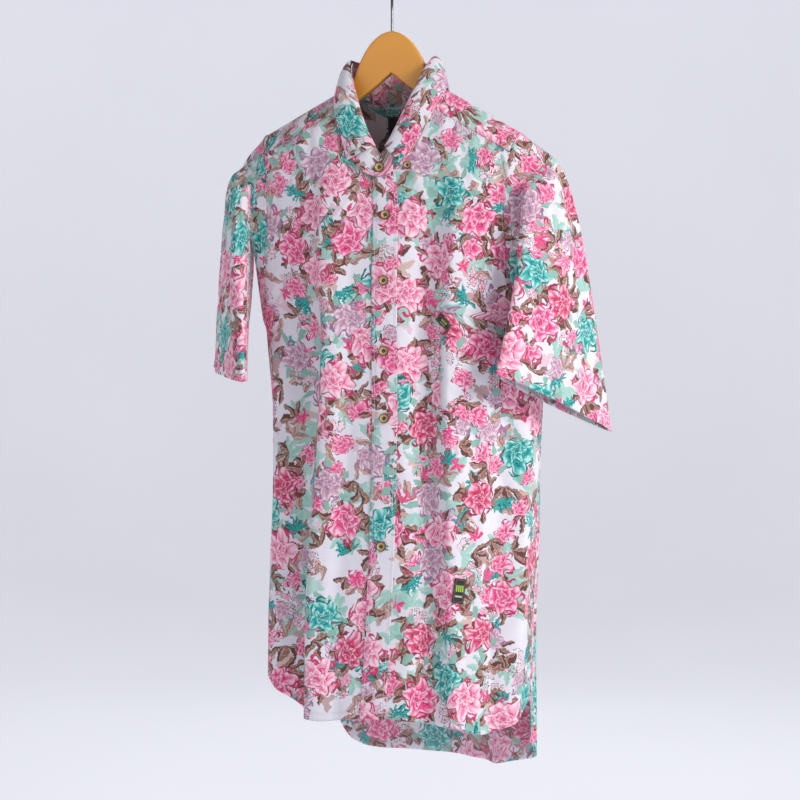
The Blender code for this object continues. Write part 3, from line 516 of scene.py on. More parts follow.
def sewn_panel(name, grid, shift=(0.0, 0.0), stitches=None, wrap=False, keep=None, thick=SHELL, uv=None):
    """Cloth piece standing for the solid of the same name, its print moved by shift."""
    if wrap:
        grid = np.concatenate([grid, grid[:, :1]], axis=1)
        stitches = [(np.concatenate([a, a[:, :1]], 1), np.concatenate([b, b[:, :1]], 1))
                    for a, b in stitches or []]
    if uv is None:
        uv = run_uv(grid)
    away, run = nearest(*stitches) if stitches else (np.full(grid.shape[:2], FAR), uv[..., 0])
    piece = mesh_piece("cotton_" + name, grid, grid_quads(*grid.shape[:2], keep=keep), CLOTH_FINISHES,
                       uv + np.array(shift), {"stitch_m": away, "stitch_run": run})
    if wrap:
        welded(piece, "closed_round", 1e-6)
    wall = piece.modifiers.new("cloth", "SOLIDIFY")
    wall.thickness = thick
    wall.offset = -1.0
    wall.use_even_offset = False
    wall.material_offset = 1
    stands_for(piece, name)
    return piece


def declare_sheet(grid, name, wrap=False):
    """State a panel's flat cut: its widest row, its longest column and its area."""
    loop = np.concatenate([grid, grid[:, :1]], axis=1) if wrap else grid
    wide = float(run_length(loop, 1)[:, -1].max())
    tall = float(run_length(loop, 0)[-1].max())
    area = min(panel_area(grid, wrap), wide * tall)
    print(f"{name}: {wide * 1000:.0f} x {tall * 1000:.0f} mm, {area:.4f} m2")


def new_finish(name):
    """Empty material that is filled in later, so that pieces can already point at it."""
    material = bpy.data.materials.new(name)
    material.use_nodes = True
    return material


CLOTH_FINISHES = [new_finish("printed_cotton"), new_finish("printed_cotton_inside")]
LABEL_FINISH = new_finish("woven_label")
BUTTON_FINISH = new_finish("horn_button")
THREAD_FINISH = new_finish("buttonhole_thread")
DARK_THREAD = new_finish("button_thread")
WOOD_FINISH = new_finish("honey_wood")
STEEL_FINISH = new_finish("hook_wire")
print("materials", len(bpy.data.materials))

# %% [markdown]
# ## The two fronts and the button band
#
# A front runs from the band to the side seam, and above the underarm to the armhole. It is cut by walking
# the form: share 0 at its centre edge and 1 at its side. A plain plane bent by a lattice would do for one
# pose, but this keeps every seam exactly on its neighbour's. The right front runs on under the band.

# %% Fronts
FRONT_EDGE = {1: PLACKET_W / 2.0 - 0.0038, -1: PLACKET_W / 3.0}
BAND_OUT = 0.0011                  # outer face of the band, above the fronts
FRONT_GRID = {1: (108, 210), -1: (112, 210)}
LAYER_OUT = WALL + CLEAR           # from one layer to the next, as the solids are layered
HEM_TURN = 0.0085                  # stitch line above the body hem
SEAM_TURN = 0.0022                 # stitch line beside a seam


def front_top(x):
    """Height of a front's upper edge: the neckline, then the front yoke seam."""
    neck = neck_z(x, True) - NECK_CUT
    seam = ridge(x) - FRONT_YOKE
    return np.where(np.abs(x) < NECK_X, np.minimum(neck, seam), seam)


def front_q(side, share, z):
    """Place q on a front: share 0 at its centre edge, 1 at the side seam or the armhole."""
    centre = side * placket_place(z, FRONT_EDGE[side])
    return side * (centre + share * (q_end(z, side) - centre))


def gathers(share, drop):
    """Small pleats that fan down from the front yoke seam and the armhole, fading over 70 mm."""
    wave = np.sin(share * 41.0 + 0.8 * np.sin(share * 13.0)) * np.exp(-drop / 0.045)
    return 0.0011 * wave * smooth(drop / 0.012) * smooth(share / 0.15)


def front_grid(side):
    """Points of one front, rows from hem to top, columns in the order that faces out."""
    count, rows = FRONT_GRID[side]
    share = np.linspace(0.0, 1.0, count)
    climb = np.linspace(0.0, 1.0, rows)[:, None]
    low = hem_z(side * share, FRONT_HEM)[None, :]
    top = np.full_like(low, -0.2)
    for _ in range(12):
        top = front_top(body(front_q(side, share, top), top)[..., 0]) - SEAM
    z = low + (top - low) * climb
    grid = body(front_q(side, share, z), z, gathers(share[None, :], top - z))
    return grid if side > 0 else grid[:, ::-1]


def front_piece(name, side, shift):
    """Front with puckers at its band, hem, yoke, armhole and side, and their stitch lines."""
    grid = front_grid(side)
    uv = level_uv(grid, 0 if side > 0 else -1)
    up = run_length(grid, 0)
    along = run_length(grid, 1)
    from_hem = up
    from_top = up[-1:, :] - up
    from_centre = along if side > 0 else along[:, -1:] - along
    from_side = along[:, -1:] - along if side > 0 else along
    grid = puckered(grid, from_hem - HEM_TURN, along, HEM_PUCKER, 1.0 + side)
    grid = puckered(grid, from_top, along, SEAM_PUCKER, 2.0 + side)
    grid = puckered(grid, from_side, up, SEAM_PUCKER, 3.0 + side)
    if side > 0:
        grid = puckered(grid, from_centre, up, EDGE_PUCKER, 4.0)
    lines = [(from_hem - HEM_TURN, along), (from_top - SEAM_TURN, along), (from_side - SEAM_TURN, up)]
    piece = sewn_panel(name, grid, shift, lines, uv=uv)
    return piece, grid


front_left, left_grid = front_piece("front_left", 1, (0.31, 0.17))
front_right, right_grid = front_piece("front_right", -1, (1.47, 0.62))

# %% Button band
BAND_STITCH = 0.0035               # stitch lines inside the band's edges
BAND_THICK = 0.0009                # it is two layers pressed together
band_v = np.linspace(0.0, 1.0, 260)[:, None]
band_u = np.linspace(-0.5, 0.5, 28)[None, :] * PLACKET_W
band_low = float(hem_z(0.0, FRONT_HEM)) - 0.001
band_z = band_low + (NECK_FRONT_Z - NECK_CUT - band_low) * band_v
band_crown = 0.0006 * (1.0 - (2.0 * band_u / PLACKET_W) ** 4)
band_grid = body(placket_place(band_z, band_u), band_z, BAND_OUT + band_crown)
band_up = run_length(band_grid, 0)
band_in = PLACKET_W / 2.0 - np.abs(band_u) + 0.0 * band_z
band_uv = level_uv(band_grid, 14)
band_grid = puckered(band_grid, band_in - BAND_STITCH, band_up, 0.00030, 0.4)
band_lines = [(band_in - BAND_STITCH, band_up), (band_up - HEM_TURN, band_u + 0.0 * band_z)]
placket = sewn_panel("placket", band_grid, (2.65, 0.4), band_lines, thick=BAND_THICK, uv=band_uv)
print("band", round(float(band_up[-1].max()) * 1000), "mm long")

# %% [markdown]
# ## Back, yoke and sleeves
#
# The back hangs from the yoke's seam, and its long curved tail shows below the fronts. The yoke goes over
# the hanger in one piece, from the back seam to the front ones. A sleeve is four loops, the armhole and
# three flattened rings, blended by one smooth curve through them, which is how a short sleeve falls: its
# front edge folded, its outer edge out to the side.

# %% Back
BACK_GRID = (170, 190)


def back_grid():
    """Points of the back from the left side seam round to the right one, hem to the yoke seam."""
    count, rows = BACK_GRID
    place = np.linspace(-1.0, 1.0, count)[None, :]
    climb = np.linspace(0.0, 1.0, rows)[:, None]
    low = hem_z(2.0 + place, BACK_HEM)
    z = low + (BACK_YOKE_Z - SEAM - low) * climb
    reach = np.where(place < 0.0, q_end(z, 1), q_end(z, -1))
    grid = body(2.0 + place * reach, z)
    behind = smooth((np.abs(place) - 0.93) / 0.07) ** 2 * 0.0014
    grid[..., 1] += behind
    return grid


back = back_grid()
back_uv = level_uv(back, BACK_GRID[0] // 2)
back_up = run_length(back, 0)
back_run = run_length(back, 1)
back_side = np.minimum(back_run, back_run[:, -1:] - back_run)
back = puckered(back, back_up - HEM_TURN, back_run, HEM_PUCKER, 5.0)
back = puckered(back, back_up[-1:, :] - back_up, back_run, SEAM_PUCKER, 6.0)
back = puckered(back, back_side, back_up, 0.00046, 7.0)
back_piece = sewn_panel("back", back, (3.9, 1.1), [
    (back_up - HEM_TURN, back_run), (back_up[-1:, :] - back_up - SEAM_TURN, back_run),
    (back_side - SEAM_TURN, back_up)], uv=back_uv)

# %% Yoke


def yoke_x(x, z):
    """Column place x drawn in beyond the neck so that the yoke ends at the armhole seam at height z."""
    arm = armhole_x(z, "left_side") - 0.0002
    beyond = np.maximum(np.abs(x) - NECK_X, 0.0) / (SHOULDER_X - NECK_X)
    return np.sign(x) * (np.minimum(np.abs(x), NECK_X) + beyond * (arm - NECK_X))


YOKE_SIDE, YOKE_MIDDLE, YOKE_BACK_ROWS, YOKE_FRONT_ROWS = 46, 61, 46, 20
yoke_side = np.linspace(NECK_X, SHOULDER_X, YOKE_SIDE)
yoke_middle = np.linspace(-NECK_X, NECK_X, YOKE_MIDDLE)[1:-1]
yoke_cols = np.concatenate([yoke_side[::-1], yoke_middle[::-1], -yoke_side])
yoke_neck = np.abs(yoke_cols) < NECK_X - 1e-6
back_share = (np.linspace(1.0, 0.0, YOKE_BACK_ROWS) ** 1.8)[:, None]
yoke_top = np.where(yoke_neck, neck_z(yoke_cols, False) - NECK_CUT, ridge(yoke_cols))
yoke_z = yoke_top + (BACK_YOKE_Z + SEAM - yoke_top) * back_share
back_place = yoke_x(yoke_cols[None, :], yoke_z)
yoke_behind = shoulder_point(back_place, ridge(back_place) - yoke_z, False)
front_drop = (np.linspace(0.02, 1.0, YOKE_FRONT_ROWS) ** 1.6)[:, None] * (FRONT_YOKE - SEAM)
front_place = yoke_x(yoke_cols[None, :], ridge(yoke_cols)[None, :] - front_drop)
yoke_ahead = shoulder_point(front_place, front_drop + 0.0 * front_place, True)
yoke = np.concatenate([yoke_behind, yoke_ahead])
open_quads = yoke_neck[:-1] | yoke_neck[1:]
yoke_keep = np.ones((len(yoke) - 1, len(yoke_cols) - 1), bool)
yoke_keep[YOKE_BACK_ROWS - 1:, open_quads] = False
yoke_run = run_length(yoke, 1)
yoke_up = run_length(yoke, 0)
yoke_uv = np.stack([-yoke[..., 0] * 1.12, yoke_up - yoke_up[YOKE_BACK_ROWS - 1][None, :]], axis=-1)
yoke_back_away = yoke_up
yoke_front_away = yoke_up[-1:, :] - yoke_up
yoke_arm_away = np.minimum(yoke_run, yoke_run[:, -1:] - yoke_run)
yoke = puckered(yoke, yoke_back_away, yoke_run, YOKE_PUCKER, 8.0)
yoke = puckered(yoke, np.where(yoke_neck, FAR, yoke_front_away), yoke_run, YOKE_PUCKER, 9.0)
yoke = puckered(yoke, yoke_arm_away, yoke_up, YOKE_PUCKER, 10.0)
yoke_piece = sewn_panel("yoke", yoke, (5.3, 0.8), [
    (yoke_back_away - SEAM_TURN, yoke_run), (yoke_front_away - SEAM_TURN, yoke_run),
    (yoke_arm_away - SEAM_TURN, yoke_up)], keep=yoke_keep, uv=yoke_uv)

# %% Sleeves
SLEEVE_LEFT = np.array([
    (0.176, -0.036, -0.268, 0.199, 0.016, -0.252, 0.013, 0.75),
    (0.168, -0.067, -0.385, 0.229, 0.040, -0.392, 0.017, 0.62),
    (0.150, -0.082, -0.487, 0.250, 0.062, -0.552, 0.013, 0.50),
])
SLEEVE_RIGHT = np.array([
    (0.176, -0.036, -0.262, 0.1935, 0.018, -0.240, 0.013, 0.75),
    (0.168, -0.062, -0.370, 0.222, 0.048, -0.372, 0.017, 0.62),
    (0.156, -0.082, -0.494, 0.248, 0.060, -0.472, 0.014, 0.50),
])
SLEEVE_GRID = (150, 110)
SLEEVE_HEM = 0.027                 # stitch line above the sleeve's edge
ARMHOLE_GAP = 0.0010               # the sleeve's step out at the armhole seam
SEAM_ALLOWANCE = 0.0050            # cloth turned in under the body at that seam
SEAM_UNDER = 0.0016                # how far under it that cloth lies
SLEEVE_ROUND = 0.125               # metres for one unit of place round a sleeve
SLEEVE_LENGTH = 0.25               # metres from the armhole to the hem
# Place round the loop at the armhole and at the hem (0 top, 1 bottom, through the front), where along
# the sleeve the fold begins and ends, its width round the loop, and its height.
SLEEVE_FOLDS = {
    1: ((0.22, 0.30, 0.05, 1.20, 0.050, -0.0030), (0.40, 0.46, 0.00, 1.10, 0.055, 0.0032),
        (0.60, 0.62, -0.10, 0.85, 0.050, -0.0034), (0.12, 0.16, 0.00, 0.80, 0.045, 0.0022),
        (-0.30, -0.36, 0.00, 1.10, 0.060, -0.0030), (-0.55, -0.60, -0.05, 1.00, 0.055, 0.0034)),
    -1: ((0.20, 0.26, 0.00, 1.20, 0.050, -0.0034), (0.36, 0.42, 0.00, 1.15, 0.050, 0.0036),
         (0.54, 0.60, -0.10, 1.00, 0.045, -0.0036), (0.70, 0.74, 0.00, 0.80, 0.045, 0.0026),
         (-0.30, -0.34, 0.00, 1.10, 0.060, -0.0030), (-0.58, -0.62, -0.05, 1.00, 0.055, 0.0034)),
}
# Short creases: place round the loop, share of the way to the hem, tilt, half length, half width, depth.
SLEEVE_CREASES = {
    1: ((0.30, 0.30, 60, 0.034, 0.0050, 0.0015), (0.52, 0.42, 74, 0.045, 0.0055, 0.0016),
        (0.72, 0.22, 40, 0.040, 0.0050, 0.0018), (0.40, 0.72, 104, 0.040, 0.0055, 0.0013),
        (0.80, 0.56, 66, 0.036, 0.0050, 0.0013), (-0.40, 0.40, 110, 0.050, 0.0055, 0.0016)),
    -1: ((0.28, 0.34, 112, 0.040, 0.0050, 0.0016), (0.48, 0.56, 84, 0.050, 0.0055, 0.0018),
         (0.70, 0.30, 128, 0.040, 0.0050, 0.0018), (0.36, 0.78, 70, 0.036, 0.0050, 0.0013),
         (0.84, 0.60, 100, 0.034, 0.0050, 0.0013), (-0.42, 0.44, 70, 0.050, 0.0055, 0.0016)),
}


def blended(control, shares):
    """Cubic curve through every control loop, each slope half the step between a loop's neighbours."""
    slope = np.gradient(control, axis=0)
    at = np.clip(shares, 0.0, 1.0) * (len(control) - 1)
    first = np.minimum(at.astype(int), len(control) - 2)
    t = (at - first)[:, None, None]
    start, stop = control[first], control[first + 1]
    leave, arrive = slope[first], slope[first + 1]
    return ((2 * t ** 3 - 3 * t ** 2 + 1) * start + (t ** 3 - 2 * t ** 2 + t) * leave
            + (3 * t ** 2 - 2 * t ** 3) * stop + (t ** 3 - t ** 2) * arrive)


def sleeve_relief(side, place, s):
    """Folds along the sleeve and short creases across it, as heights in metres."""
    push = 0.0 * place * s
    for top, foot, begin, end, wide, height in SLEEVE_FOLDS[side]:
        off = (place - (top + (foot - top) * s) + 1.0) % 2.0 - 1.0
        along = smooth((s - begin) / 0.25) * smooth((end - s) / 0.25)
        push = push + height * along * np.exp(-(off / wide) ** 2)
    for place0, s0, tilt, half_length, half_width, depth in SLEEVE_CREASES[side]:
        turn = math.radians(tilt)
        sideways = ((place - place0 + 1.0) % 2.0 - 1.0) * SLEEVE_ROUND
        upwards = (s0 - s) * SLEEVE_LENGTH
        along = (sideways * math.cos(turn) + upwards * math.sin(turn)) / half_length
        across = (-sideways * math.sin(turn) + upwards * math.cos(turn)) / half_width
        push = push - depth * (1.0 - 1.6 * across ** 2) * np.exp(-across ** 2 - along ** 2)
    return push * smooth(s / 0.10)


def sleeve_grid(side, table):
    """Points of a sleeve: the loops blended along the arm, then moved out by folds, creases and puckers."""
    count, rows = SLEEVE_GRID
    psi = np.linspace(0.0, 2.0 * math.pi, count, endpoint=False)
    top = ridge(side * SHOULDER_X) + 0.0006
    mid = (top + UNDERARM_Z) / 2.0
    z = mid + (top - mid) * np.cos(psi)
    end = np.where(psi < math.pi, q_end(z, side), 2.0 - q_end(z, side))
    loop = body(side * end, z)
    loop[..., 0] = side * (np.abs(loop[..., 0]) + ARMHOLE_GAP)
    loops = [loop]
    for ix, iy, iz, ox, oy, oz, half, turn in table:
        inner, outer = np.array([ix, iy, iz]), np.array([ox, oy, oz])
        axis = (outer - inner) / 2.0
        thick = np.cross(axis, (0.0, 0.0, 1.0))
        thick = thick / np.linalg.norm(thick) * half
        angle = psi + turn * np.sin(psi / 2.0) ** 2
        ring = (inner + outer) / 2.0 + np.outer(np.cos(angle), axis) + np.outer(np.sin(angle), thick)
        ring[:, 0] *= side
        loops.append(ring)
    s = np.linspace(0.0, 1.0, rows)
    grid = blended(np.stack(loops), s)
    place = np.broadcast_to(psi / math.pi, grid.shape[:2])
    under = count // 2
    grid, place = np.roll(grid, under, axis=1), np.roll(place, under, axis=1)
    if side < 0:
        grid, place = grid[:, ::-1], place[:, ::-1]
    relief = sleeve_relief(side, place, s[:, None])
    grid = grid + outward(grid, True) * relief[..., None]
    turned_in = grid[:1] - outward(grid, True)[:1] * SEAM_UNDER
    inwards = np.array([side * SEAM_ALLOWANCE, 0.0, 0.0])
    tucked = np.concatenate([turned_in - inwards * share for share in (1.0, 0.4)])
    return np.concatenate([tucked, grid])


def sleeve_piece(name, side, table, shift):
    """Sleeve with its armhole seam, its deep hem and the seam under the arm."""
    grid = sleeve_grid(side, table)
    along = run_length(grid, 0)
    around_run = run_length(grid, 1)
    grid = puckered(grid, along, around_run, 0.00045, 11.0 + side, True)
    grid = puckered(grid, along[-1:, :] - along - SLEEVE_HEM, around_run, HEM_PUCKER, 13.0 + side, True)
    lines = [(along - SEAM_TURN, around_run), (along[-1:, :] - along - SLEEVE_HEM, around_run)]
    closed = np.concatenate([grid, grid[:, :1]], axis=1)
    quarter = SLEEVE_GRID[0] // 4
    uv = draped_uv(closed, 3 * quarter if side > 0 else quarter)
    return sewn_panel(name, grid, shift, lines, wrap=True, uv=uv), grid


sleeve_left, left_sleeve_grid = sleeve_piece("sleeve_left", 1, SLEEVE_LEFT, (6.2, 0.5))
sleeve_right, right_sleeve_grid = sleeve_piece("sleeve_right", -1, SLEEVE_RIGHT, (7.7, 0.9))

# %% [markdown]
# ## Collar
#
# The stand is a narrow band from the neckline up to the roll line, lapped and buttoned at the front. The
# leaf is folded over the roll line and falls outwards to its edge. Its cross-section is one quadratic
# curve from the roll through a crown to the edge, so that it rolls as starched cotton does. The leaf's tips
# lie a little open.

# %% Collar stand and leaf
LEAF_LEFT = np.array([(0.025, -0.2415, 0.0046), (0.046, -0.2150, 0.0036), (0.0610, -0.1840, 0.0034),
                      (0.0685, -0.1620, 0.0036), (0.0705, -0.1460, 0.0028)])
LEAF_RIGHT = np.array([(0.038, -0.2360, 0.0046), (0.048, -0.2130, 0.0036), (0.0570, -0.1850, 0.0034),
                       (0.0650, -0.1620, 0.0036), (0.0685, -0.1460, 0.0028)])
LEAF_CREST = (0.0700, 0.0020)      # where its edge crosses the shoulder, and how far above it
LEAF_BACK = np.array([(0.062, -0.1600, 0.0070), (0.040, -0.1690, 0.0110), (0.000, -0.1720, 0.0120)])
ROLL_X = 0.049
ROLL_FRONT = (-0.040, -0.2290)
ROLL_BACK = (0.050, -0.1170)
ROLL_SIDE_Z = -0.1140
LEAF_GRID = (190, 34)
STAND_GRID = (180, 16)
STAND_LOW = 0.10                   # how far it laps down over the fronts, as a share of its height
LEAF_STITCH = 0.0050               # stitch line inside its edge
LEAF_THICK = 0.0011                # it is two layers with a stiffening


def neck_ring(phi):
    """Neckline round the neck hole: phi 0 at the centre front, pi at the centre back."""
    x = NECK_X * np.sin(phi)
    front = np.cos(phi) >= 0.0
    z = np.where(front, neck_z(x, True), neck_z(x, False))
    ahead = shoulder_point(x, ridge(x) - z, True)
    behind = shoulder_point(x, ridge(x) - z, False)
    return np.where(front[:, None], ahead, behind)


def roll_ring(phi):
    """Roll line where the collar folds over: an ellipse whose height rises to the sides."""
    x = ROLL_X * np.sin(phi)
    middle = (ROLL_BACK[0] + ROLL_FRONT[0]) / 2.0
    y = middle - (ROLL_BACK[0] - ROLL_FRONT[0]) / 2.0 * np.cos(phi)
    rise = np.abs(np.sin(phi)) ** 1.25
    end_z = np.where(np.cos(phi) > 0.0, ROLL_FRONT[1], ROLL_BACK[1])
    return np.stack([x, y, end_z + (ROLL_SIDE_Z - end_z) * rise], axis=-1)


def stand_grid():
    """Stand between the neckline and the roll line, its left end lapped over the right one."""
    phi = np.linspace(-0.16, 2.0 * math.pi + 0.30, STAND_GRID[0])
    low, high = neck_ring(phi), roll_ring(phi)
    lap = smooth((phi - 2.0 * math.pi + 0.50) / 0.25)
    share = np.linspace(0.0, 1.0, STAND_GRID[1])[:, None, None]
    foot = -STAND_LOW * smooth((np.cos(phi) - 0.55) / 0.4)[:, None]
    share = foot + (0.97 - foot) * share
    grid = low + (high - low) * share
    ahead = np.stack([np.sin(phi), -np.cos(phi), 0.0 * phi], -1)
    grid = grid + ahead * (0.0004 + 0.0010 * smooth((0.12 - share) / 0.2))
    grid[..., 1] -= lap * LAYER_OUT
    grid[..., 2] += 0.0006
    return grid


def leaf_line(table, front, away):
    """Points of the leaf's edge on the shirt's front or back, each its own clearance away from it."""
    line = shoulder_point(table[:, 0], ridge(table[:, 0]) - table[:, 1], front)
    line[:, 1] += away * table[:, 2]
    return line


def leaf_outline(count):
    """Outer edge of the leaf from the left tip round the back to the right tip, evenly along its length."""
    left, right = [leaf_line(table, True, -1.0) for table in (LEAF_LEFT, LEAF_RIGHT)]
    behind = leaf_line(LEAF_BACK, False, 1.0)
    crest = shoulder_point(np.array([LEAF_CREST[0]]), np.zeros(1), True)
    crest = crest + np.array([0.0, 0.0, LEAF_CREST[1]])
    mirror = np.array([-1.0, 1.0, 1.0])
    edge = np.concatenate([left, crest, behind, behind[:-1][::-1] * mirror, crest * mirror,
                           right[::-1] * mirror])
    at = np.concatenate([[0.0], np.cumsum(np.linalg.norm(np.diff(edge, axis=0), axis=1))])
    along = np.linspace(0.0, 1.0, count) * at[-1]
    raw = np.stack([np.interp(along, at, edge[:, i]) for i in range(3)], axis=-1)
    reach = 7
    padded = np.concatenate([raw[:1].repeat(reach, 0), raw, raw[-1:].repeat(reach, 0)])
    window = np.hanning(2 * reach + 3)[1:-1]
    eased = sum(w * padded[i:i + count] for i, w in enumerate(window)) / window.sum()
    ends = smooth(np.minimum(np.arange(count), count - 1 - np.arange(count)) / (2.0 * reach))[:, None]
    return raw + (eased - raw) * ends


def leaf_grid():
    """Leaf from its outer edge up to the roll line: (1-s)^2 start + 2s(1-s) crown + s^2 edge."""
    count, rows = LEAF_GRID
    phi = np.linspace(0.10, 2.0 * math.pi - 0.10, count)
    foot = leaf_outline(count)
    roll = roll_ring(phi)
    flat = roll[:, :2] - np.array([0.0, 0.005])
    out = np.zeros_like(roll)
    out[:, :2] = flat / np.linalg.norm(flat, axis=1)[:, None]
    rise = np.array([0.0, 0.0, 0.0030])
    lap = smooth((phi - 2.0 * math.pi + 0.60) / 0.25)[:, None] * np.array([0.0, LAYER_OUT, 0.0])
    start = roll + out * 0.0028 + rise - lap
    crown = roll + out * 0.0130 + rise * 0.6 - lap
    s = (np.linspace(0.0, 1.0, rows) ** 1.25)[:, None, None]
    grid = (start * (1 - s) ** 2 + crown * 2 * s * (1 - s) + foot * s ** 2)[::-1]
    wave = 0.0016 * np.sin(phi * 5.0 + 0.6) + 0.0010 * np.sin(phi * 9.0 + 2.0)
    return grid + outward(grid) * (wave[None, :, None] * smooth(s[::-1] * 1.2) * (1.0 - 0.4 * s[::-1]))


stand = stand_grid()
stand_run = run_length(stand, 1)
stand_up = run_length(stand, 0)
collar_stand = sewn_panel("collar_stand", stand, (9.1, 0.3), [
    (stand_up - SEAM_TURN, stand_run), (stand_up[-1:, :] - stand_up - SEAM_TURN, stand_run)])
leaf = leaf_grid()
leaf_run = run_length(leaf, 1)
leaf_up = run_length(leaf, 0)
leaf_end = np.minimum(leaf_run, leaf_run[:, -1:] - leaf_run)
leaf = puckered(leaf, leaf_up - LEAF_STITCH, leaf_run, EDGE_PUCKER, 15.0)
collar_leaf = sewn_panel("collar_leaf", leaf, (10.4, 0.55), [
    (leaf_up - LEAF_STITCH, leaf_run), (leaf_end - LEAF_STITCH, leaf_up)], thick=LEAF_THICK)
print("leaf edge", round(float(leaf_run[0, -1]) * 1000), "mm")

# %% [markdown]
# ## Pocket and labels
#
# The patch pocket lies on the left front and follows its folds, its print cut from another part of the
# cloth. The labels are woven bands with cut-and-folded ends. They follow the cloth too, so each is made
# from the body's own points, moved out.

# %% Pocket
POCKET = {"share0": 0.222, "share1": 0.572, "top": -0.412, "drop": 0.016, "deep": 0.122}
POCKET_HEM = 0.022
pocket_s = np.linspace(POCKET["share0"], POCKET["share1"], 64)[None, :]
pocket_u = (pocket_s - pocket_s[0, 0]) / (pocket_s[0, -1] - pocket_s[0, 0])
pocket_v = np.linspace(0.0, 1.0, 72)[:, None]
pocket_point = 0.014 * (1.0 - np.abs(2.0 * pocket_u - 1.0))
pocket_top = POCKET["top"] - POCKET["drop"] * pocket_u
pocket_low = pocket_top - POCKET["deep"] + 0.010 - pocket_point
pocket_z = pocket_low + (pocket_top - pocket_low) * pocket_v
pocket_belly = 0.0010 * np.sin(pocket_u * math.pi) * smooth(pocket_v * 1.1)
pocket_grid = body(front_q(1, pocket_s, pocket_z), pocket_z, BAND_OUT + pocket_belly)
pocket_uv = level_uv(pocket_grid)
pocket_run = run_length(pocket_grid, 1)
pocket_up = run_length(pocket_grid, 0)
pocket_side = np.minimum(pocket_run, pocket_run[:, -1:] - pocket_run)
pocket_sewn = np.minimum(pocket_side, pocket_up)
pocket_grid = puckered(pocket_grid, pocket_sewn, pocket_run + pocket_up, HEM_PUCKER, 16.0)
pocket_piece = sewn_panel("pocket", pocket_grid, (11.3, 0.2), [
    (pocket_side - SEAM_TURN, pocket_up), (pocket_up - SEAM_TURN, pocket_run),
    (pocket_up[-1:, :] - pocket_up - POCKET_HEM, pocket_run)], uv=pocket_uv)

# %% Labels
TABS = {
    "pocket_tab": {"q": 0.318, "z": -0.4270, "wide": 0.0235, "high": 0.0090, "tilt": -38.0, "out": 0.0036},
    "hem_tab": {"q": 0.380, "z": -0.7310, "wide": 0.0140, "high": 0.0280, "tilt": -8.0, "out": 0.0016},
}


def label_piece(name, grid, wide, high, thick):
    """Woven label on a grid, with UVs in metres from its middle and its half sizes as fields."""
    rows, cols = grid.shape[:2]
    u, v = np.meshgrid(np.linspace(-0.5, 0.5, cols) * wide, np.linspace(-0.5, 0.5, rows) * high)
    edge = np.minimum(wide / 2.0 - np.abs(u), high / 2.0 - np.abs(v))
    piece = mesh_piece("woven_" + name, grid, grid_quads(rows, cols), [LABEL_FINISH], np.stack([u, v], -1),
                       {"edge_m": edge, "tall_m": np.full_like(u, high)})
    wall = piece.modifiers.new("band", "SOLIDIFY")
    wall.thickness = thick
    wall.offset = -1.0
    stands_for(piece, name)
    return piece


def tab_piece(name, q, z, wide, high, tilt, out):
    """Tab on the left front, tilted by degrees, its face out metres above it."""
    scale_q = 0.04 / np.linalg.norm(body(q + 0.02, z) - body(q - 0.02, z))
    turn = math.radians(tilt)
    u = np.linspace(-0.5, 0.5, 24)[None, :] * wide
    v = np.linspace(-0.5, 0.5, 24)[:, None] * high
    dx = u * math.cos(turn) - v * math.sin(turn)
    dz = u * math.sin(turn) + v * math.cos(turn)
    return label_piece(name, body(q + dx * scale_q, z + dz, out, 0.6), wide, high, 0.0009)


tab_pieces = [tab_piece(name, **tab) for name, tab in TABS.items()]
LABEL_X, LABEL_LOW, LABEL_TOP = 0.024, -0.199, -0.173
label_x, label_z = np.meshgrid(np.linspace(LABEL_X, -LABEL_X, 30), np.linspace(LABEL_LOW, LABEL_TOP, 24))
label_points = shoulder_point(label_x, ridge(label_x) - label_z, False, -(2.0 * WALL + CLEAR))
neck_label = label_piece("neck_label", label_points, 2.0 * LABEL_X, LABEL_TOP - LABEL_LOW, 0.0008)
print("labels", len(tab_pieces) + 1)

# %% [markdown]
# ## Buttons and buttonholes
#
# A shirt button is a turned disc with a raised rim, a dished face and four holes, sewn on with thread.
# Turning a profile gives the disc. The holes are dimples pressed into the same grid, by a term that falls
# off around four centres, so that no Boolean is needed, and their insides are painted near-black as shade. A
# buttonhole is a ring of thread round a slit. One hole on the band has no button, and only the hole is made.

# %% Buttons
BUTTON_R = 0.0058
BUTTON_T = 0.0026
BUTTON_LIFT = 0.0014               # of its back above the band, on its thread
COLLAR_BUTTON_AT = (0.118, -0.2440, 0.0011)
COLLAR_BUTTON_SCALE = 0.78
BUTTON_Z = (-0.3020, -0.3780, -0.4590, -0.5360, -0.6820)
EMPTY_HOLE_Z = -0.6080
HOLE_OFF = 0.0013                  # a hole's distance from the middle, each way
HOLE_WIDE = 0.00062


def standing_on(q, z, out):
    """Point of the front at a place and its outward direction: down crossed with sideways."""
    here = body(q, z, out)
    across = body(q + 0.02, z, out) - body(q - 0.02, z, out)
    down = body(q, z - 0.01, out) - body(q, z + 0.01, out)
    across = across / np.linalg.norm(across)
    normal = np.cross(down, across)
    return here, normal / np.linalg.norm(normal)


def place_on(at, normal, local, spin=0.0):
    """Local points (sideways, up, outward) put at a place whose outward direction is normal."""
    normal = np.asarray(normal, float) / np.linalg.norm(normal)
    side = np.cross((0.0, 0.0, 1.0), normal)
    side = side / np.linalg.norm(side)
    up = np.cross(normal, side)
    across = side * math.cos(spin) + up * math.sin(spin)
    rise = up * math.cos(spin) - side * math.sin(spin)
    return at + local[..., 0:1] * across + local[..., 1:2] * rise + local[..., 2:3] * normal


RIM_ROWS = 12                      # rows of the button's back and edge, before its face


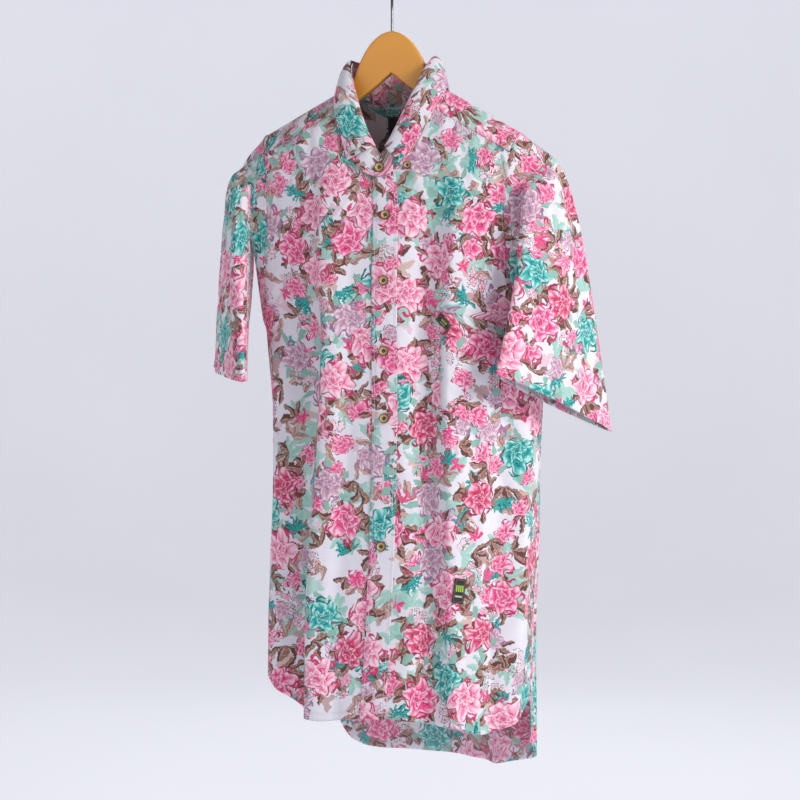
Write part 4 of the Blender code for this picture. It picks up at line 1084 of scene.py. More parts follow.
def button_grid(scale):
    """Turned button: rings from the back's middle round the edge to the face's middle.

    The face is a dish inside a rim, lowered by four bells at the holes.
    """
    radius = np.concatenate([np.linspace(0.0, 0.82, 4), [0.94, 0.99, 1.0, 1.0, 0.985, 0.95, 0.90, 0.85],
                             [0.80, 0.76, 0.72, 0.68], np.linspace(0.64, 0.0, 22)])
    height = np.concatenate([np.full(4, 0.0), [0.03, 0.14, 0.34, 0.66, 0.85, 0.96, 1.0, 1.0],
                             [0.97, 0.90, 0.78, 0.68], 0.62 - 0.08 * np.cos(np.linspace(0, math.pi / 2, 22))])
    angle = np.linspace(0.0, 2.0 * math.pi, 44, endpoint=False)
    x = np.outer(radius, np.cos(angle)) * BUTTON_R * scale
    y = np.outer(radius, np.sin(angle)) * BUTTON_R * scale
    z = np.repeat(height[:, None], len(angle), axis=1) * BUTTON_T * scale
    face = (np.arange(len(radius)) >= RIM_ROWS)[:, None]
    for sx in (-1.0, 1.0):
        for sy in (-1.0, 1.0):
            away = np.hypot(x - sx * HOLE_OFF * scale, y - sy * HOLE_OFF * scale)
            z = z - face * 0.0011 * np.exp(-(away / HOLE_WIDE) ** 4)
    return np.stack([x, y, z], axis=-1), np.repeat(radius[:, None], len(angle), axis=1)


def thread_grid(scale):
    """One bar of sewing thread between two holes: a flattened tube arched over the dish."""
    along = np.linspace(-1.0, 1.0, 11)
    angle = np.linspace(0.0, 2.0 * math.pi, 8, endpoint=False)
    thick = 0.00034 * scale * np.sqrt(np.maximum(1.0 - along ** 8, 0.0))
    centre_z = (0.56 * BUTTON_T + 0.00035 * (1.0 - along ** 4)) * scale
    x = np.repeat((along * HOLE_OFF * scale)[:, None], len(angle), axis=1)
    y = np.outer(thick, np.cos(angle))
    z = centre_z[:, None] + np.outer(thick, np.sin(angle)) * 0.8
    return np.stack([x, y, z], axis=-1)


def button_piece(name, at, normal, scale, spin):
    """Button with its two bars of thread, as one mesh with two finishes."""
    disc, radius = button_grid(scale)
    rows, cols = disc.shape[:2]
    points = [disc.reshape(-1, 3)]
    quads = [grid_quads(rows, cols, wrap=True)]
    share = [radius.ravel()]
    bar = thread_grid(scale)
    for sy in (-1.0, 1.0):
        quads.append(grid_quads(*bar.shape[:2], wrap=True) + sum(len(p) for p in points))
        points.append((bar + np.array([0.0, sy * HOLE_OFF * scale, 0.0])).reshape(-1, 3))
        share.append(np.full(bar.shape[0] * bar.shape[1], 2.0))
    local = np.concatenate(points)
    fields = {"ring": np.concatenate(share), "face_x": local[:, 0] / scale, "face_y": local[:, 1] / scale}
    piece = mesh_piece("horn_" + name, place_on(at, normal, local, spin), np.concatenate(quads),
                       [BUTTON_FINISH, DARK_THREAD], None, fields)
    marks = np.concatenate([np.zeros(len(quads[0]), np.int32),
                            np.ones(len(quads[1]) + len(quads[2]), np.int32)])
    piece.data.polygons.foreach_set("material_index", marks)
    welded(piece, "closed_poles")
    stands_for(piece, name)
    return piece


STAND_BUTTON_TURN = np.array([0.03])
stand_front = (neck_ring(STAND_BUTTON_TURN)[0] + roll_ring(STAND_BUTTON_TURN)[0]) / 2.0
stand_front = stand_front + np.array([0.0, -4.0 * WALL - 3.0 * CLEAR + WALL, -0.0050])
button_pieces = [button_piece("button_1", stand_front, (0.0, -1.0, 0.05), 1.0, 0.4)]
for i, z in enumerate(BUTTON_Z):
    at, normal = standing_on(float(placket_place(z, 0.0)), z, BAND_OUT + BUTTON_LIFT)
    button_pieces.append(button_piece(f"button_{i + 2}", at, normal, 1.0, 0.35 + 1.7 * i))
at, normal = standing_on(*COLLAR_BUTTON_AT)
button_pieces.append(button_piece("collar_button", at, normal, COLLAR_BUTTON_SCALE, 0.9))
print("buttons", len(button_pieces))

# %% Buttonholes
HOLE_LONG = 0.0150
HOLE_BAND = 0.0011                 # width of the thread round the slit


def buttonhole_piece(name, z):
    """Ring of thread round a slit: a small round section carried round a stadium on the band."""
    turn = np.linspace(0.0, 2.0 * math.pi, 72, endpoint=False)
    half = HOLE_LONG / 2.0 - HOLE_BAND
    u = HOLE_BAND * 0.62 * np.cos(turn)
    v = half * np.clip(np.sin(turn) * 1.6, -1.0, 1.0) + HOLE_BAND * 0.7 * np.sin(turn)
    angle = np.linspace(0.0, 2.0 * math.pi, 10, endpoint=False)
    bead = 1.0 + 0.10 * np.sin(turn * 36.0)
    wide = HOLE_BAND / 2.0 * np.outer(bead, np.cos(angle))
    high = 0.00045 * np.outer(bead, np.sin(angle))
    du = u[:, None] + wide * np.cos(turn)[:, None]
    dv = v[:, None] + wide * np.sin(turn)[:, None]
    place = placket_place(z + dv, du)
    grid = body(place, z + dv, BAND_OUT + 0.00055 + high)
    quads = grid_quads(len(turn), len(angle), wrap=True)
    last = (len(turn) - 1) * len(angle) + np.arange(len(angle))
    first = np.arange(len(angle))
    join = np.stack([last, np.roll(last, -1), np.roll(first, -1), first], axis=-1)
    piece = mesh_piece(name, grid[:, ::-1], np.concatenate([quads, join]), [THREAD_FINISH])
    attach(piece, "root")
    return piece


HOLE_PLACES = (*BUTTON_Z, EMPTY_HOLE_Z)
holes = [buttonhole_piece(f"buttonhole_{i + 1}", z) for i, z in enumerate(HOLE_PLACES)]
print("buttonholes", len(holes))

# %% [markdown]
# ## Hanger
#
# The hanger is one flat board sawn to an arch with two arms, its edges eased, and a steel wire hook
# standing in the top of the arch. Rounding the edge is a sum: the outline is moved inwards along its own
# normals by r(1 - cos a) while the face moves out by r sin a. The hook turns in its hole on the real one.

# %% Hanger board
WOOD_T = 0.012
WOOD_ROUND = 0.0026
ARCH = np.array([(0.0000, -0.0800), (0.0080, -0.0815), (0.0170, -0.0862), (0.0255, -0.0940),
                 (0.0330, -0.1045), (0.0390, -0.1160), (0.0435, -0.1275), (0.0478, -0.1390),
                 (0.0560, -0.1500)])
TIP = np.array([(0.1670, -0.2125), (0.1690, -0.2170), (0.1685, -0.2215), (0.1660, -0.2245),
                (0.1620, -0.2255)])
UNDER = np.array([(0.1620, -0.2255), (0.150, -0.2195), (0.110, -0.1975), (0.070, -0.1760),
                  (0.044, -0.1620), (0.020, -0.1455), (0.006, -0.1340), (0.000, -0.1300)])
BOARD_COLUMNS = 150


def even_curve(points, count, reach=5):
    """Points spread evenly along a line, its corners eased by a moving average, ends kept."""
    step = np.linalg.norm(np.diff(points, axis=0), axis=1)
    at = np.concatenate([[0.0], np.cumsum(step)])
    along = np.linspace(0.0, at[-1], count)
    line = np.stack([np.interp(along, at, points[:, i]) for i in range(points.shape[1])], axis=-1)
    for _ in range(reach):
        line[1:-1] = (line[:-2] + 2.0 * line[1:-1] + line[2:]) / 4.0
    return line


arm_x = np.linspace(0.070, 0.164, 7)
top_half = np.concatenate([ARCH, np.stack([arm_x, ridge(arm_x) + lean(arm_x) - 0.0065], -1), TIP])
mirror = np.array([-1.0, 1.0])
board_top = even_curve(np.concatenate([top_half[::-1] * mirror, top_half[1:]]), 2 * BOARD_COLUMNS - 1)
under_half = even_curve(UNDER, BOARD_COLUMNS, 3)
board_under = np.concatenate([under_half * mirror, under_half[::-1][1:]])
for edge_line in (board_top, board_under):
    edge_line[:, 1] -= lean(edge_line[:, 0])
outline = np.concatenate([board_top, board_under[::-1][1:-1]])
tangent = np.roll(outline, -1, axis=0) - np.roll(outline, 1, axis=0)
inward = np.stack([tangent[:, 1], -tangent[:, 0]], -1)
inward = inward / np.linalg.norm(inward, axis=1, keepdims=True)
ease = np.linspace(0.0, math.pi / 2.0, 7)
level_y = np.concatenate([-WOOD_T / 2.0 + WOOD_ROUND * (1.0 - np.sin(ease)[::-1]),
                          WOOD_T / 2.0 - WOOD_ROUND * (1.0 - np.sin(ease))])
level_in = WOOD_ROUND * np.concatenate([(1.0 - np.cos(ease))[::-1], 1.0 - np.cos(ease)])
flat_ring = outline[None] + inward[None] * level_in[:, None, None]
ring = np.stack([flat_ring[..., 0], np.broadcast_to(level_y[:, None], flat_ring.shape[:2]),
                 flat_ring[..., 1]], -1)
face_rows = np.linspace(0.0, 1.0, 9)[:, None, None]


def face_grid(level):
    """Flat face filling the ring at one level: straight lines from its upper to its lower edge."""
    count = len(board_top)
    upper = ring[level, :count]
    lower = np.concatenate([upper[:1], ring[level, count:][::-1], upper[-1:]])
    return upper[None] * (1.0 - face_rows) + lower[None] * face_rows


front_face, back_face = face_grid(0), face_grid(-1)
board_points = np.concatenate([ring.reshape(-1, 3), front_face.reshape(-1, 3), back_face.reshape(-1, 3)])
side_quads = grid_quads(*ring.shape[:2], wrap=True)
front_quads = grid_quads(*front_face.shape[:2]) + ring[..., 0].size
back_quads = grid_quads(*back_face.shape[:2]) + ring[..., 0].size + front_face[..., 0].size
board_quads = np.concatenate([side_quads, front_quads[:, ::-1], back_quads])
hanger_board = mesh_piece("hanger_board", board_points, board_quads, [WOOD_FINISH])
welded(hanger_board, "closed_edges")
stands_for(hanger_board, "hanger_wood")
print("board", len(board_quads), "quads")

# %% Hook
HOOK_WIRE = 0.0032
HOOK_R = 0.0170
HOOK_TURN = math.radians(18.0)
HOOK_START, HOOK_STOP = math.radians(-38.0), math.radians(205.0)
HOOK_BEND_Z = -0.0560
HOOK_PULL = 0.026


def hook_route():
    """Centre line of the hook: a straight shank, a Hermite bend and most of a circle."""
    radius = HOOK_R + HOOK_WIRE / 2.0
    angle = np.linspace(HOOK_START, HOOK_STOP, 110)
    circle = np.stack([radius * np.cos(angle), -HOOK_R + radius * np.sin(angle)], axis=-1)
    shank = np.stack([np.zeros(24), np.linspace(-0.0800 + SEAM, HOOK_BEND_Z, 24)], axis=-1)
    t = np.linspace(0.0, 1.0, 40)[1:-1, None]
    way = np.array([-math.sin(HOOK_START), math.cos(HOOK_START)])
    leave, arrive = HOOK_PULL * np.array([0, 1]), HOOK_PULL * way
    bend = ((2 * t ** 3 - 3 * t ** 2 + 1) * shank[-1] + (t ** 3 - 2 * t ** 2 + t) * leave
            + (-2 * t ** 3 + 3 * t ** 2) * circle[0] + (t ** 3 - t ** 2) * arrive)
    across, height = np.concatenate([shank, bend, circle]).T
    return np.stack([across * -math.sin(HOOK_TURN), across * math.cos(HOOK_TURN), height], -1)


def tube_grid(route, radius, sides=20):
    """Round tube along a plane route, closed by a dome at each end: radius times sqrt(1 - t^2) there."""
    ahead = np.gradient(route, axis=0)
    ahead = ahead / np.linalg.norm(ahead, axis=1, keepdims=True)
    level = np.array([math.cos(HOOK_TURN), math.sin(HOOK_TURN), 0.0])
    level = np.broadcast_to(level, route.shape)
    up = np.cross(ahead, level)
    cap = np.linspace(1.0, 0.0, 6)
    start = route[:1] - ahead[:1] * (radius * cap)[:, None]
    stop = route[-1:] + ahead[-1:] * (radius * cap[::-1])[:, None]
    line = np.concatenate([start[:-1], route, stop[1:]])
    dome = np.sqrt(1.0 - cap[:-1] ** 2)
    size = np.concatenate([dome, np.ones(len(route)), dome[::-1]])
    pad = ((5, 5), (0, 0))
    level, up = np.pad(level, pad, mode="edge"), np.pad(up, pad, mode="edge")
    angle = np.linspace(0.0, 2.0 * math.pi, sides, endpoint=False)
    round_way = np.cos(angle)[None, :, None] * level[:, None] + np.sin(angle)[None, :, None] * up[:, None]
    return line[:, None] + round_way * (radius * size)[:, None, None]


hook_grid = tube_grid(hook_route(), HOOK_WIRE / 2.0)
hook_quads = grid_quads(*hook_grid.shape[:2], wrap=True)
hook = mesh_piece("hanger_hook_wire", hook_grid, hook_quads, [STEEL_FINISH])
welded(hook, "closed_ends")
stands_for(hook, "hanger_hook")
print("hook", round(float(run_length(hook_route()[:, None], 0)[-1, 0]) * 1000), "mm of wire")

# %% [markdown]
# ## Writing materials as expressions
#
# A node tree drawn by hand is hard to read. Here a small class wraps a socket, so that sums and products
# in Python become Math nodes, and every other node comes from one method. Numbers alone stay numbers.

# %% Flow and Finish


class Flow:
    """A socket inside a material. Operators add Math nodes, in either order."""

    def __init__(self, tree, socket):
        self.tree, self.socket = tree, socket

    def math(self, operation, *others, first=None, clamp=False):
        """One Math node, with this socket first unless another is given."""
        new = self.tree.nodes.new("ShaderNodeMath")
        new.operation = operation
        new.use_clamp = clamp
        for place, item in zip(new.inputs, (self if first is None else first, *others)):
            feed(self.tree, place, item)
        return Flow(self.tree, new.outputs[0])

    def __add__(self, other):
        return self.math("ADD", other)

    def __sub__(self, other):
        return self.math("SUBTRACT", other)

    def __rsub__(self, other):
        return self.math("SUBTRACT", self, first=other)

    def __mul__(self, other):
        return self.math("MULTIPLY", other)

    def __truediv__(self, other):
        return self.math("DIVIDE", other)

    def __rtruediv__(self, other):
        return self.math("DIVIDE", self, first=other)

    def __abs__(self):
        return self.math("ABSOLUTE")

    def __gt__(self, other):
        return self.math("GREATER_THAN", other)

    def __lt__(self, other):
        return self.math("LESS_THAN", other)

    __radd__, __rmul__ = __add__, __mul__


def feed(tree, place, item):
    """Link a Flow to a socket, or set a plain value on it."""
    if isinstance(item, Flow):
        tree.links.new(item.socket, place)
    else:
        place.default_value = item


def sin(flow):
    return flow.math("SINE")


def fract(flow):
    return flow.math("FRACT")


def floor(flow):
    return flow.math("FLOOR")


def within(flow, width):
    """Soft step at 0: 0 below -width/2, 1 above width/2."""
    return flow.math("MULTIPLY_ADD", 1.0 / width, 0.5, clamp=True)


def tint(code):
    """Linear colour of a six-digit sRGB code."""
    raw = [int(code[i:i + 2], 16) / 255.0 for i in (0, 2, 4)]
    return (*[v / 12.92 if v <= 0.04045 else ((v + 0.055) / 1.055) ** 2.4 for v in raw], 1.0)


class Finish:
    """Node tree of one material, with its Principled shader."""

    def __init__(self, material, **constants):
        self.tree = material.node_tree
        self.shader = self.tree.nodes["Principled BSDF"]
        for name, value in constants.items():
            self.shader.inputs[name.replace("_", " ")].default_value = value

    def node(self, kind, settings=None, out=0, **values):
        """Any node: its settings first, then the values or links of its named sockets."""
        new = self.tree.nodes.new("ShaderNode" + kind)
        for name, value in (settings or {}).items():
            setattr(new, name, value)
        for name, value in values.items():
            place = new.inputs[int(name[1:])] if name[0] == "i" and name[1:].isdigit() else new.inputs[name]
            feed(self.tree, place, value)
        return Flow(self.tree, new.outputs[out]) if out is not None else new

    def ramp(self, factor, stops):
        """Colour ramp in steps, from (place, colour) pairs."""
        new = self.tree.nodes.new("ShaderNodeValToRGB")
        new.color_ramp.interpolation = "CONSTANT"
        points = new.color_ramp.elements
        while len(points) < len(stops):
            points.new(1.0)
        for point, (place, colour) in zip(points, stops):
            point.position = place
            point.color = colour
        feed(self.tree, new.inputs[0], factor)
        return Flow(self.tree, new.outputs[0])

    def mix(self, low, high, factor, blend="MIX"):
        """Mixed colour: low where the factor is 0, high where it is 1."""
        return self.node("Mix", {"data_type": "RGBA", "blend_type": blend}, 2, i0=factor, i6=low, i7=high)

    def vector(self, operation, first, second=(0.0, 0.0, 0.0), out=0):
        """Vector Math node."""
        return self.node("VectorMath", {"operation": operation}, out, i0=first, i1=second)

    def parts(self, vector):
        """The three numbers of a vector or a colour."""
        new = self.node("SeparateXYZ", None, None, i0=vector)
        return [Flow(self.tree, socket) for socket in new.outputs]

    def noise(self, place, scale, detail=2.0, dims="2D", out=0):
        """Noise texture: its number (out 0) or its colour (out 1)."""
        return self.node("TexNoise", {"noise_dimensions": dims}, out, Vector=place, Scale=scale,
                         Detail=detail)

    def field(self, name):
        """A named attribute of the piece, as a number."""
        return self.node("Attribute", {"attribute_name": name}, 2)

    def set(self, **values):
        """Link what varies to the shader."""
        for name, value in values.items():
            feed(self.tree, self.shader.inputs[name.replace("_", " ")], value)


# %% [markdown]
# ## The print
#
# The cloth is screen printed with a dense garden: big outlined roses and peonies, teal and mauve ones among
# them, serrated brown leaves with pale veins, flat mint leaves behind, clusters of small blossoms and spiky
# teal sprigs. An image would be quicker, but this is drawn afresh from two generators. Each layer scatters
# cells over the cloth and draws one motif about each cell's point. A bloom is rings of scalloped petals,
# spaced evenly in the logarithm of the radius. A fan is a few leaves about one base. Noise bends the
# cloth's own coordinates a little first, so that every edge looks painted.

# %% Palette
GROUND, GROUND_SHADE = tint("E9E6EC"), tint("DDD8E2")
MINT, MINT_DEEP = tint("AACFC5"), tint("8CBDB0")
CHOCOLATE, BARK = tint("67403A"), tint("9A7268")
SAND, TAUPE = tint("D0AC9E"), tint("B5938E")
TEAL, TEAL_DEEP, TEAL_LIGHT = tint("10A6A4"), tint("0B706E"), tint("7CD0C6")
LILAC, MAUVE, MAUVE_DEEP = tint("DDBBC8"), tint("C499A8"), tint("A26F98")
BLUSH, PINK, PINK_MID, PINK_DEEP = tint("FACAD9"), tint("F499B9"), tint("EA6496"), tint("CC3A6E")
HOT, HOT_LIGHT, HOT_DEEP = tint("EE5790"), tint("F8A6C3"), tint("BC2A60")
CRIMSON, CRIMSON_LIGHT, CRIMSON_DEEP = tint("DA466F"), tint("F08AA8"), tint("9A274E")

# %% Motifs


def scatter(finish, place, size, turn, shift, randomness=0.55):
    """Cells of a given size: the way from the cell's point, and three random numbers of the cell."""
    turned = finish.node("VectorRotate", {"rotation_type": "Z_AXIS"}, 0, Vector=place, Angle=turn)
    moved = finish.vector("ADD", turned, (*shift, 0.0))
    cell = finish.node("TexVoronoi", {"voronoi_dimensions": "2D", "feature": "F1"}, None, Vector=moved,
                       Scale=1.0 / size, Randomness=randomness)
    centre = Flow(finish.tree, cell.outputs["Position"])
    return finish.vector("SUBTRACT", moved, centre), finish.parts(Flow(finish.tree, cell.outputs["Color"]))


def polar(finish, way, spin):
    """Distance and angle of a way from a point, the angle moved on by spin."""
    x, y, _ = finish.parts(way)
    return finish.vector("LENGTH", way, out=1), y.math("ARCTAN2", x) + spin


BLOOM_LEAN = (0.0052, 0.0, 0.0)    # how far a bloom's heart lies off its middle


def bloom(finish, way, dice, radius, petals, rings, light, mid, dark):
    """Rose or peony: its mask and colour.

    The depth into the flower is -ln(r) * rings, raised by |sin(petals * angle / 2)| so that each ring is
    scalloped. Its whole part counts the rings, and its fraction runs from a petal's outlined edge through
    its light to its shade. Fine strokes run inwards.
    """
    spin = dice[0] * 31.0 + dice[2] * 17.0
    first, _ = polar(finish, way, spin)
    lean_in = finish.node("VectorRotate", {"rotation_type": "Z_AXIS"}, 0, Vector=BLOOM_LEAN, Angle=spin)
    sunk = finish.node("VectorMath", {"operation": "SCALE"}, 0, Vector=lean_in, Scale=1.0 - first / radius)
    distance, angle = polar(finish, finish.vector("SUBTRACT", way, sunk), spin)
    ratio = distance / radius
    depth = ratio.math("LOGARITHM", math.e) * -rings
    ring = floor(depth)
    scallop = abs(sin(angle * (petals / 2.0) + ring * 2.1 + dice[1] * 5.0))
    reached = depth + scallop * 0.62 - 0.42
    part = fract(reached)
    streak = sin(angle * 14.0 + ring * 4.0 + part * 3.0)
    stroke = within(streak - 0.58, 0.4) * within(part - 0.30, 0.3)
    gleam = within(-0.35 - streak, 0.5) * within(part - 0.15, 0.2) * within(0.62 - part, 0.3)
    colour = finish.mix(light, mid, within(part - 0.60, 0.50))
    colour = finish.mix(colour, dark, stroke * 0.42)
    colour = finish.mix(colour, GROUND, gleam * 0.55)
    heart = within(0.15 - ratio, 0.10)
    edge = within(0.17 - part, 0.07)
    colour = finish.mix(colour, dark, edge.math("MAXIMUM", heart * 0.8))
    return within(reached, 0.05), colour


def fan(finish, way, spin, long, wide, step, most, start=0.0, teeth=190.0, jag=0.24):
    """Leaves about one base: their mask, the distance to the edge, the side, and the veins.

    The angle is folded onto the nearest leaf's middle line, then a leaf's half width is
    wide * sin(pi * along / long) to the power 0.8, cut by teeth.
    """
    distance, angle = polar(finish, way, spin)
    turned = (angle / 6.28319).math("FRACT") * 6.28319 - 3.14159
    leaf = (turned / step).math("ROUND").math("MINIMUM", most).math("MAXIMUM", -most)
    off = turned - leaf * step
    along = distance * off.math("COSINE") - start
    across = distance * sin(off)
    share = (along / long).math("MAXIMUM", 0.0).math("MINIMUM", 1.0)
    half = sin(share * 3.14159).math("POWER", 0.8) * wide
    tooth = fract(along * teeth - abs(across) * teeth * 0.6)
    edge = half * (1.0 - tooth * jag) - abs(across)
    veins = within(0.13 - tooth, 0.12) * within(half * 0.70 - abs(across), 0.0008) * within(across, 0.0006)
    rib = within(0.00034 - abs(across), 0.0003)
    return within(edge - 0.0002, 0.0004), edge, within(across, 0.0010), veins.math("MAXIMUM", rib)


# %% The garden


def blotches(finish, place, base):
    """Faint washes of taupe, sand and lilac behind everything."""
    way, dice = scatter(finish, place, 0.034, 0.4, (0.013, 0.021))
    distance, angle = polar(finish, way, dice[0] * 6.28)
    shape = 0.0085 + sin(angle * 3.0) * 0.0028 + sin(angle * 7.0) * 0.0012 - distance
    wash = finish.ramp(dice[1], [(0.0, SAND), (0.35, TAUPE), (0.62, LILAC), (0.85, MINT)])
    return finish.mix(base, wash, within(shape, 0.0012) * (dice[2] < 0.62) * 0.85)


def mint_leaves(finish, place, base, size, turn, shift):
    """Flat mint leaves in fives."""
    way, dice = scatter(finish, place, size, turn, shift)
    mask, _, side, _ = fan(finish, way, dice[0] * 6.28, 0.026, 0.0052, 0.62, 2.0, teeth=150.0, jag=0.35)
    colour = finish.mix(MINT, MINT_DEEP, side * 0.5)
    return finish.mix(base, colour, mask * (dice[2] < 0.40))


def drawn_leaves(finish, place, base, size, turn, shift, keep, pale):
    """Serrated leaves in threes: dark with pale veins, or pale with a dark outline."""
    way, dice = scatter(finish, place, size, turn, shift)
    long = 0.019 + dice[1] * 0.007
    mask, edge, side, veins = fan(finish, way, dice[0] * 6.28, long, 0.0046, 0.95, 1.0)
    if pale:
        inner = finish.mix(SAND, TAUPE, side)
        line = within(0.00055 - edge, 0.0004).math("MAXIMUM", veins * 0.8)
        colour = finish.mix(inner, CHOCOLATE, line)
    else:
        inner = finish.mix(CHOCOLATE, BARK, side * 0.85)
        colour = finish.mix(inner, SAND, veins * 0.75)
    return finish.mix(base, colour, mask * (dice[2] < keep))


def blossom_clusters(finish, place, base):
    """Handfuls of small five-petalled flowers with brown outlines."""
    way, dice = scatter(finish, place, 0.052, 1.1, (0.004, 0.037))
    distance, angle = polar(finish, way, dice[0] * 6.28)
    bunch = (0.0155 + sin(angle * 3.0) * 0.002 > distance) * (dice[2] < 0.62)
    small, small_dice = scatter(finish, place, 0.0098, 0.2, (0.001, 0.003), 0.6)
    near, turn = polar(finish, small, small_dice[0] * 6.28)
    petal = 0.0030 + abs(sin(turn * 2.5)) * 0.0021 - near
    inner = finish.ramp(dice[1], [(0.0, PINK), (0.4, BLUSH), (0.7, LILAC)])
    colour = finish.mix(inner, GROUND, within(near - 0.0028, 0.0014) * 0.7)
    colour = finish.mix(colour, PINK_DEEP, within(0.0011 - near, 0.0006))
    colour = finish.mix(colour, CHOCOLATE, within(0.00055 - petal, 0.0004))
    return finish.mix(base, colour, within(petal + 0.0003, 0.0004) * bunch)


def teal_sprigs(finish, place, base):
    """Spiky teal sprigs, each a wide fan of narrow leaves."""
    way, dice = scatter(finish, place, 0.050, 2.3, (0.017, 0.009))
    mask, _, side, veins = fan(finish, way, dice[0] * 6.28, 0.0165, 0.0030, 0.50, 3.0, teeth=260.0, jag=0.5)
    colour = finish.mix(TEAL, TEAL_DEEP, side)
    colour = finish.mix(colour, TEAL_LIGHT, veins * 0.4)
    return finish.mix(base, colour, mask * (dice[2] < 0.55))


def roses(finish, place, base):
    """Big blooms in four colours, on their own brown leaves."""
    way, dice = scatter(finish, place, 0.055, 0.75, (0.0, 0.0), 0.45)
    here = dice[2] < 0.80
    leaf_mask, _, side, veins = fan(finish, way, dice[1] * 6.28, 0.017, 0.0048, 1.05, 3.0, start=0.0165)
    leaf = finish.mix(finish.mix(CHOCOLATE, BARK, side * 0.85), SAND, veins * 0.75)
    leaf = finish.mix(leaf, MINT_DEEP, (dice[0] > 0.62) * 0.9)
    base = finish.mix(base, leaf, leaf_mask * here)
    stops = (0.0, 0.40, 0.58, 0.66, 0.83)
    light, mid, dark = [finish.ramp(dice[0], list(zip(stops, colours))) for colours in (
        (BLUSH, HOT_LIGHT, CRIMSON_LIGHT, TEAL_LIGHT, LILAC), (PINK, HOT, CRIMSON, TEAL, MAUVE),
        (PINK_DEEP, HOT_DEEP, CRIMSON_DEEP, TEAL_DEEP, MAUVE_DEEP))]
    mask, colour = bloom(finish, way, dice, 0.0225 - dice[0] * 0.004, 5.0, 1.5, light, mid, dark)
    return finish.mix(base, colour, mask * here)


def small_blooms(finish, place, base):
    """Buds and half-size blooms between the big ones."""
    way, dice = scatter(finish, place, 0.036, 1.9, (0.011, 0.026))
    stops = (0.0, 0.35, 0.70, 0.86)
    light, mid, dark = [finish.ramp(dice[0], list(zip(stops, colours))) for colours in (
        (PINK, HOT_LIGHT, LILAC, TEAL_LIGHT), (PINK_MID, HOT, MAUVE, TEAL),
        (PINK_DEEP, HOT_DEEP, MAUVE_DEEP, TEAL_DEEP))]
    mask, colour = bloom(finish, way, dice, 0.0118, 5.0, 1.3, light, mid, dark)
    return finish.mix(base, colour, mask * (dice[2] < 0.60))


def star_flowers(finish, place, base):
    """Small pointed flowers in hot pink."""
    way, dice = scatter(finish, place, 0.043, 2.8, (0.031, 0.002))
    mask, _, _, veins = fan(finish, way, dice[0] * 6.28, 0.0092, 0.0022, 1.2566, 2.0, teeth=90.0, jag=0.0)
    colour = finish.mix(HOT, PINK_DEEP, veins)
    return finish.mix(base, colour, mask * (dice[2] < 0.28))


HAND = ((120.0, 3.0, 0.0062), (42.0, 1.0, 0.0130))      # an unsteady hand: grain, detail and reach


def garden(finish):
    """The whole print, from the ground up."""
    cloth = finish.node("UVMap", {"uv_map": "cloth"})
    place = cloth
    for grain, detail, amount in HAND:
        shake = finish.vector("SUBTRACT", finish.noise(cloth, grain, detail, out=1), (0.5, 0.5, 0.5))
        shake = finish.node("VectorMath", {"operation": "SCALE"}, 0, Vector=shake, Scale=amount)
        place = finish.vector("ADD", place, shake)
    base = finish.mix(GROUND, GROUND_SHADE, finish.noise(cloth, 40.0, 1.0))
    base = blotches(finish, place, base)
    base = mint_leaves(finish, place, base, 0.042, 0.3, (0.02, 0.01))
    base = mint_leaves(finish, place, base, 0.047, 1.4, (0.005, 0.031))
    base = drawn_leaves(finish, place, base, 0.037, 2.1, (0.012, 0.019), 0.55, True)
    base = blossom_clusters(finish, place, base)
    base = drawn_leaves(finish, place, base, 0.036, 0.9, (0.027, 0.006), 0.72, False)
    base = teal_sprigs(finish, place, base)
    base = small_blooms(finish, place, base)
    base = star_flowers(finish, place, base)
    return roses(finish, place, base), cloth


# %% [markdown]
# ## Cotton, thread and label
#
# Printed poplin is matt. Its yarns are a third of a millimetre apart, so the weave is a fine bump and a
# faint change of tone, and the thread of the seams lies in a shallow groove, which is darkened with painted
# shade. The print shows through to the inside, a little paler. The labels are dense satin weave with a few
# plain marks in place of words.

# %% Cloth finishes
YARN = 0.00034
STITCH_LONG = 0.0027
THREAD_TINT = tint("E2DAE4")
INSIDE_TINT = tint("C9C2CE")
INSIDE_FADE = 0.14
SLUB_TINT = (0.80, 0.79, 0.82, 1.0)
# Tone multiplied into the seam grooves: painted shade in the recess beside each stitch line.
GROOVE_PAINTED_SHADE = (0.72, 0.70, 0.74, 1.0)


def cotton(material, fade):
    """Printed cotton, faded by a share towards a pale grey on the inside."""
    finish = Finish(material, Sheen_Weight=0.12, Sheen_Roughness=0.6, Specular_IOR_Level=0.25)
    colour, cloth = garden(finish)
    if fade:
        colour = finish.mix(colour, INSIDE_TINT, fade)
    slub = finish.noise(finish.vector("MULTIPLY", cloth, (60.0, 1400.0, 1.0)), 1.0, 1.0)
    slub = slub + finish.noise(finish.vector("MULTIPLY", cloth, (1400.0, 60.0, 1.0)), 1.0, 1.0)
    shade = (slub - 0.92).math("MULTIPLY", 0.55, clamp=True)
    colour = finish.mix(colour, SLUB_TINT, shade, "MULTIPLY")
    u, v, _ = finish.parts(cloth)
    weave = sin(u * (2.0 * math.pi / YARN)) * sin(v * (2.0 * math.pi / YARN))
    away = finish.field("stitch_m")
    dash = within(0.72 - fract(finish.field("stitch_run") / STITCH_LONG), 0.12)
    thread = within(0.00042 - abs(away), 0.0003) * dash
    groove = within(0.0016 - abs(away), 0.0024)
    colour = finish.mix(colour, THREAD_TINT, thread * 0.75)
    # Painted shade: the colour darkens in the groove beside each stitch line, where the recess would be
    # shaded.
    colour = finish.mix(colour, GROOVE_PAINTED_SHADE, groove * (1.0 - thread) * 0.35, "MULTIPLY")
    height = weave * 0.00003 + thread * 0.00028 - groove * 0.00030 + slub * 0.00004
    bump = finish.node("Bump", None, 0, Strength=0.8, Distance=1.0, Height=height)
    finish.set(Base_Color=colour, Normal=bump, Roughness=0.84 + thread * -0.10)


cotton(CLOTH_FINISHES[0], 0.0)
cotton(CLOTH_FINISHES[1], INSIDE_FADE)
print("print nodes", len(CLOTH_FINISHES[0].node_tree.nodes))

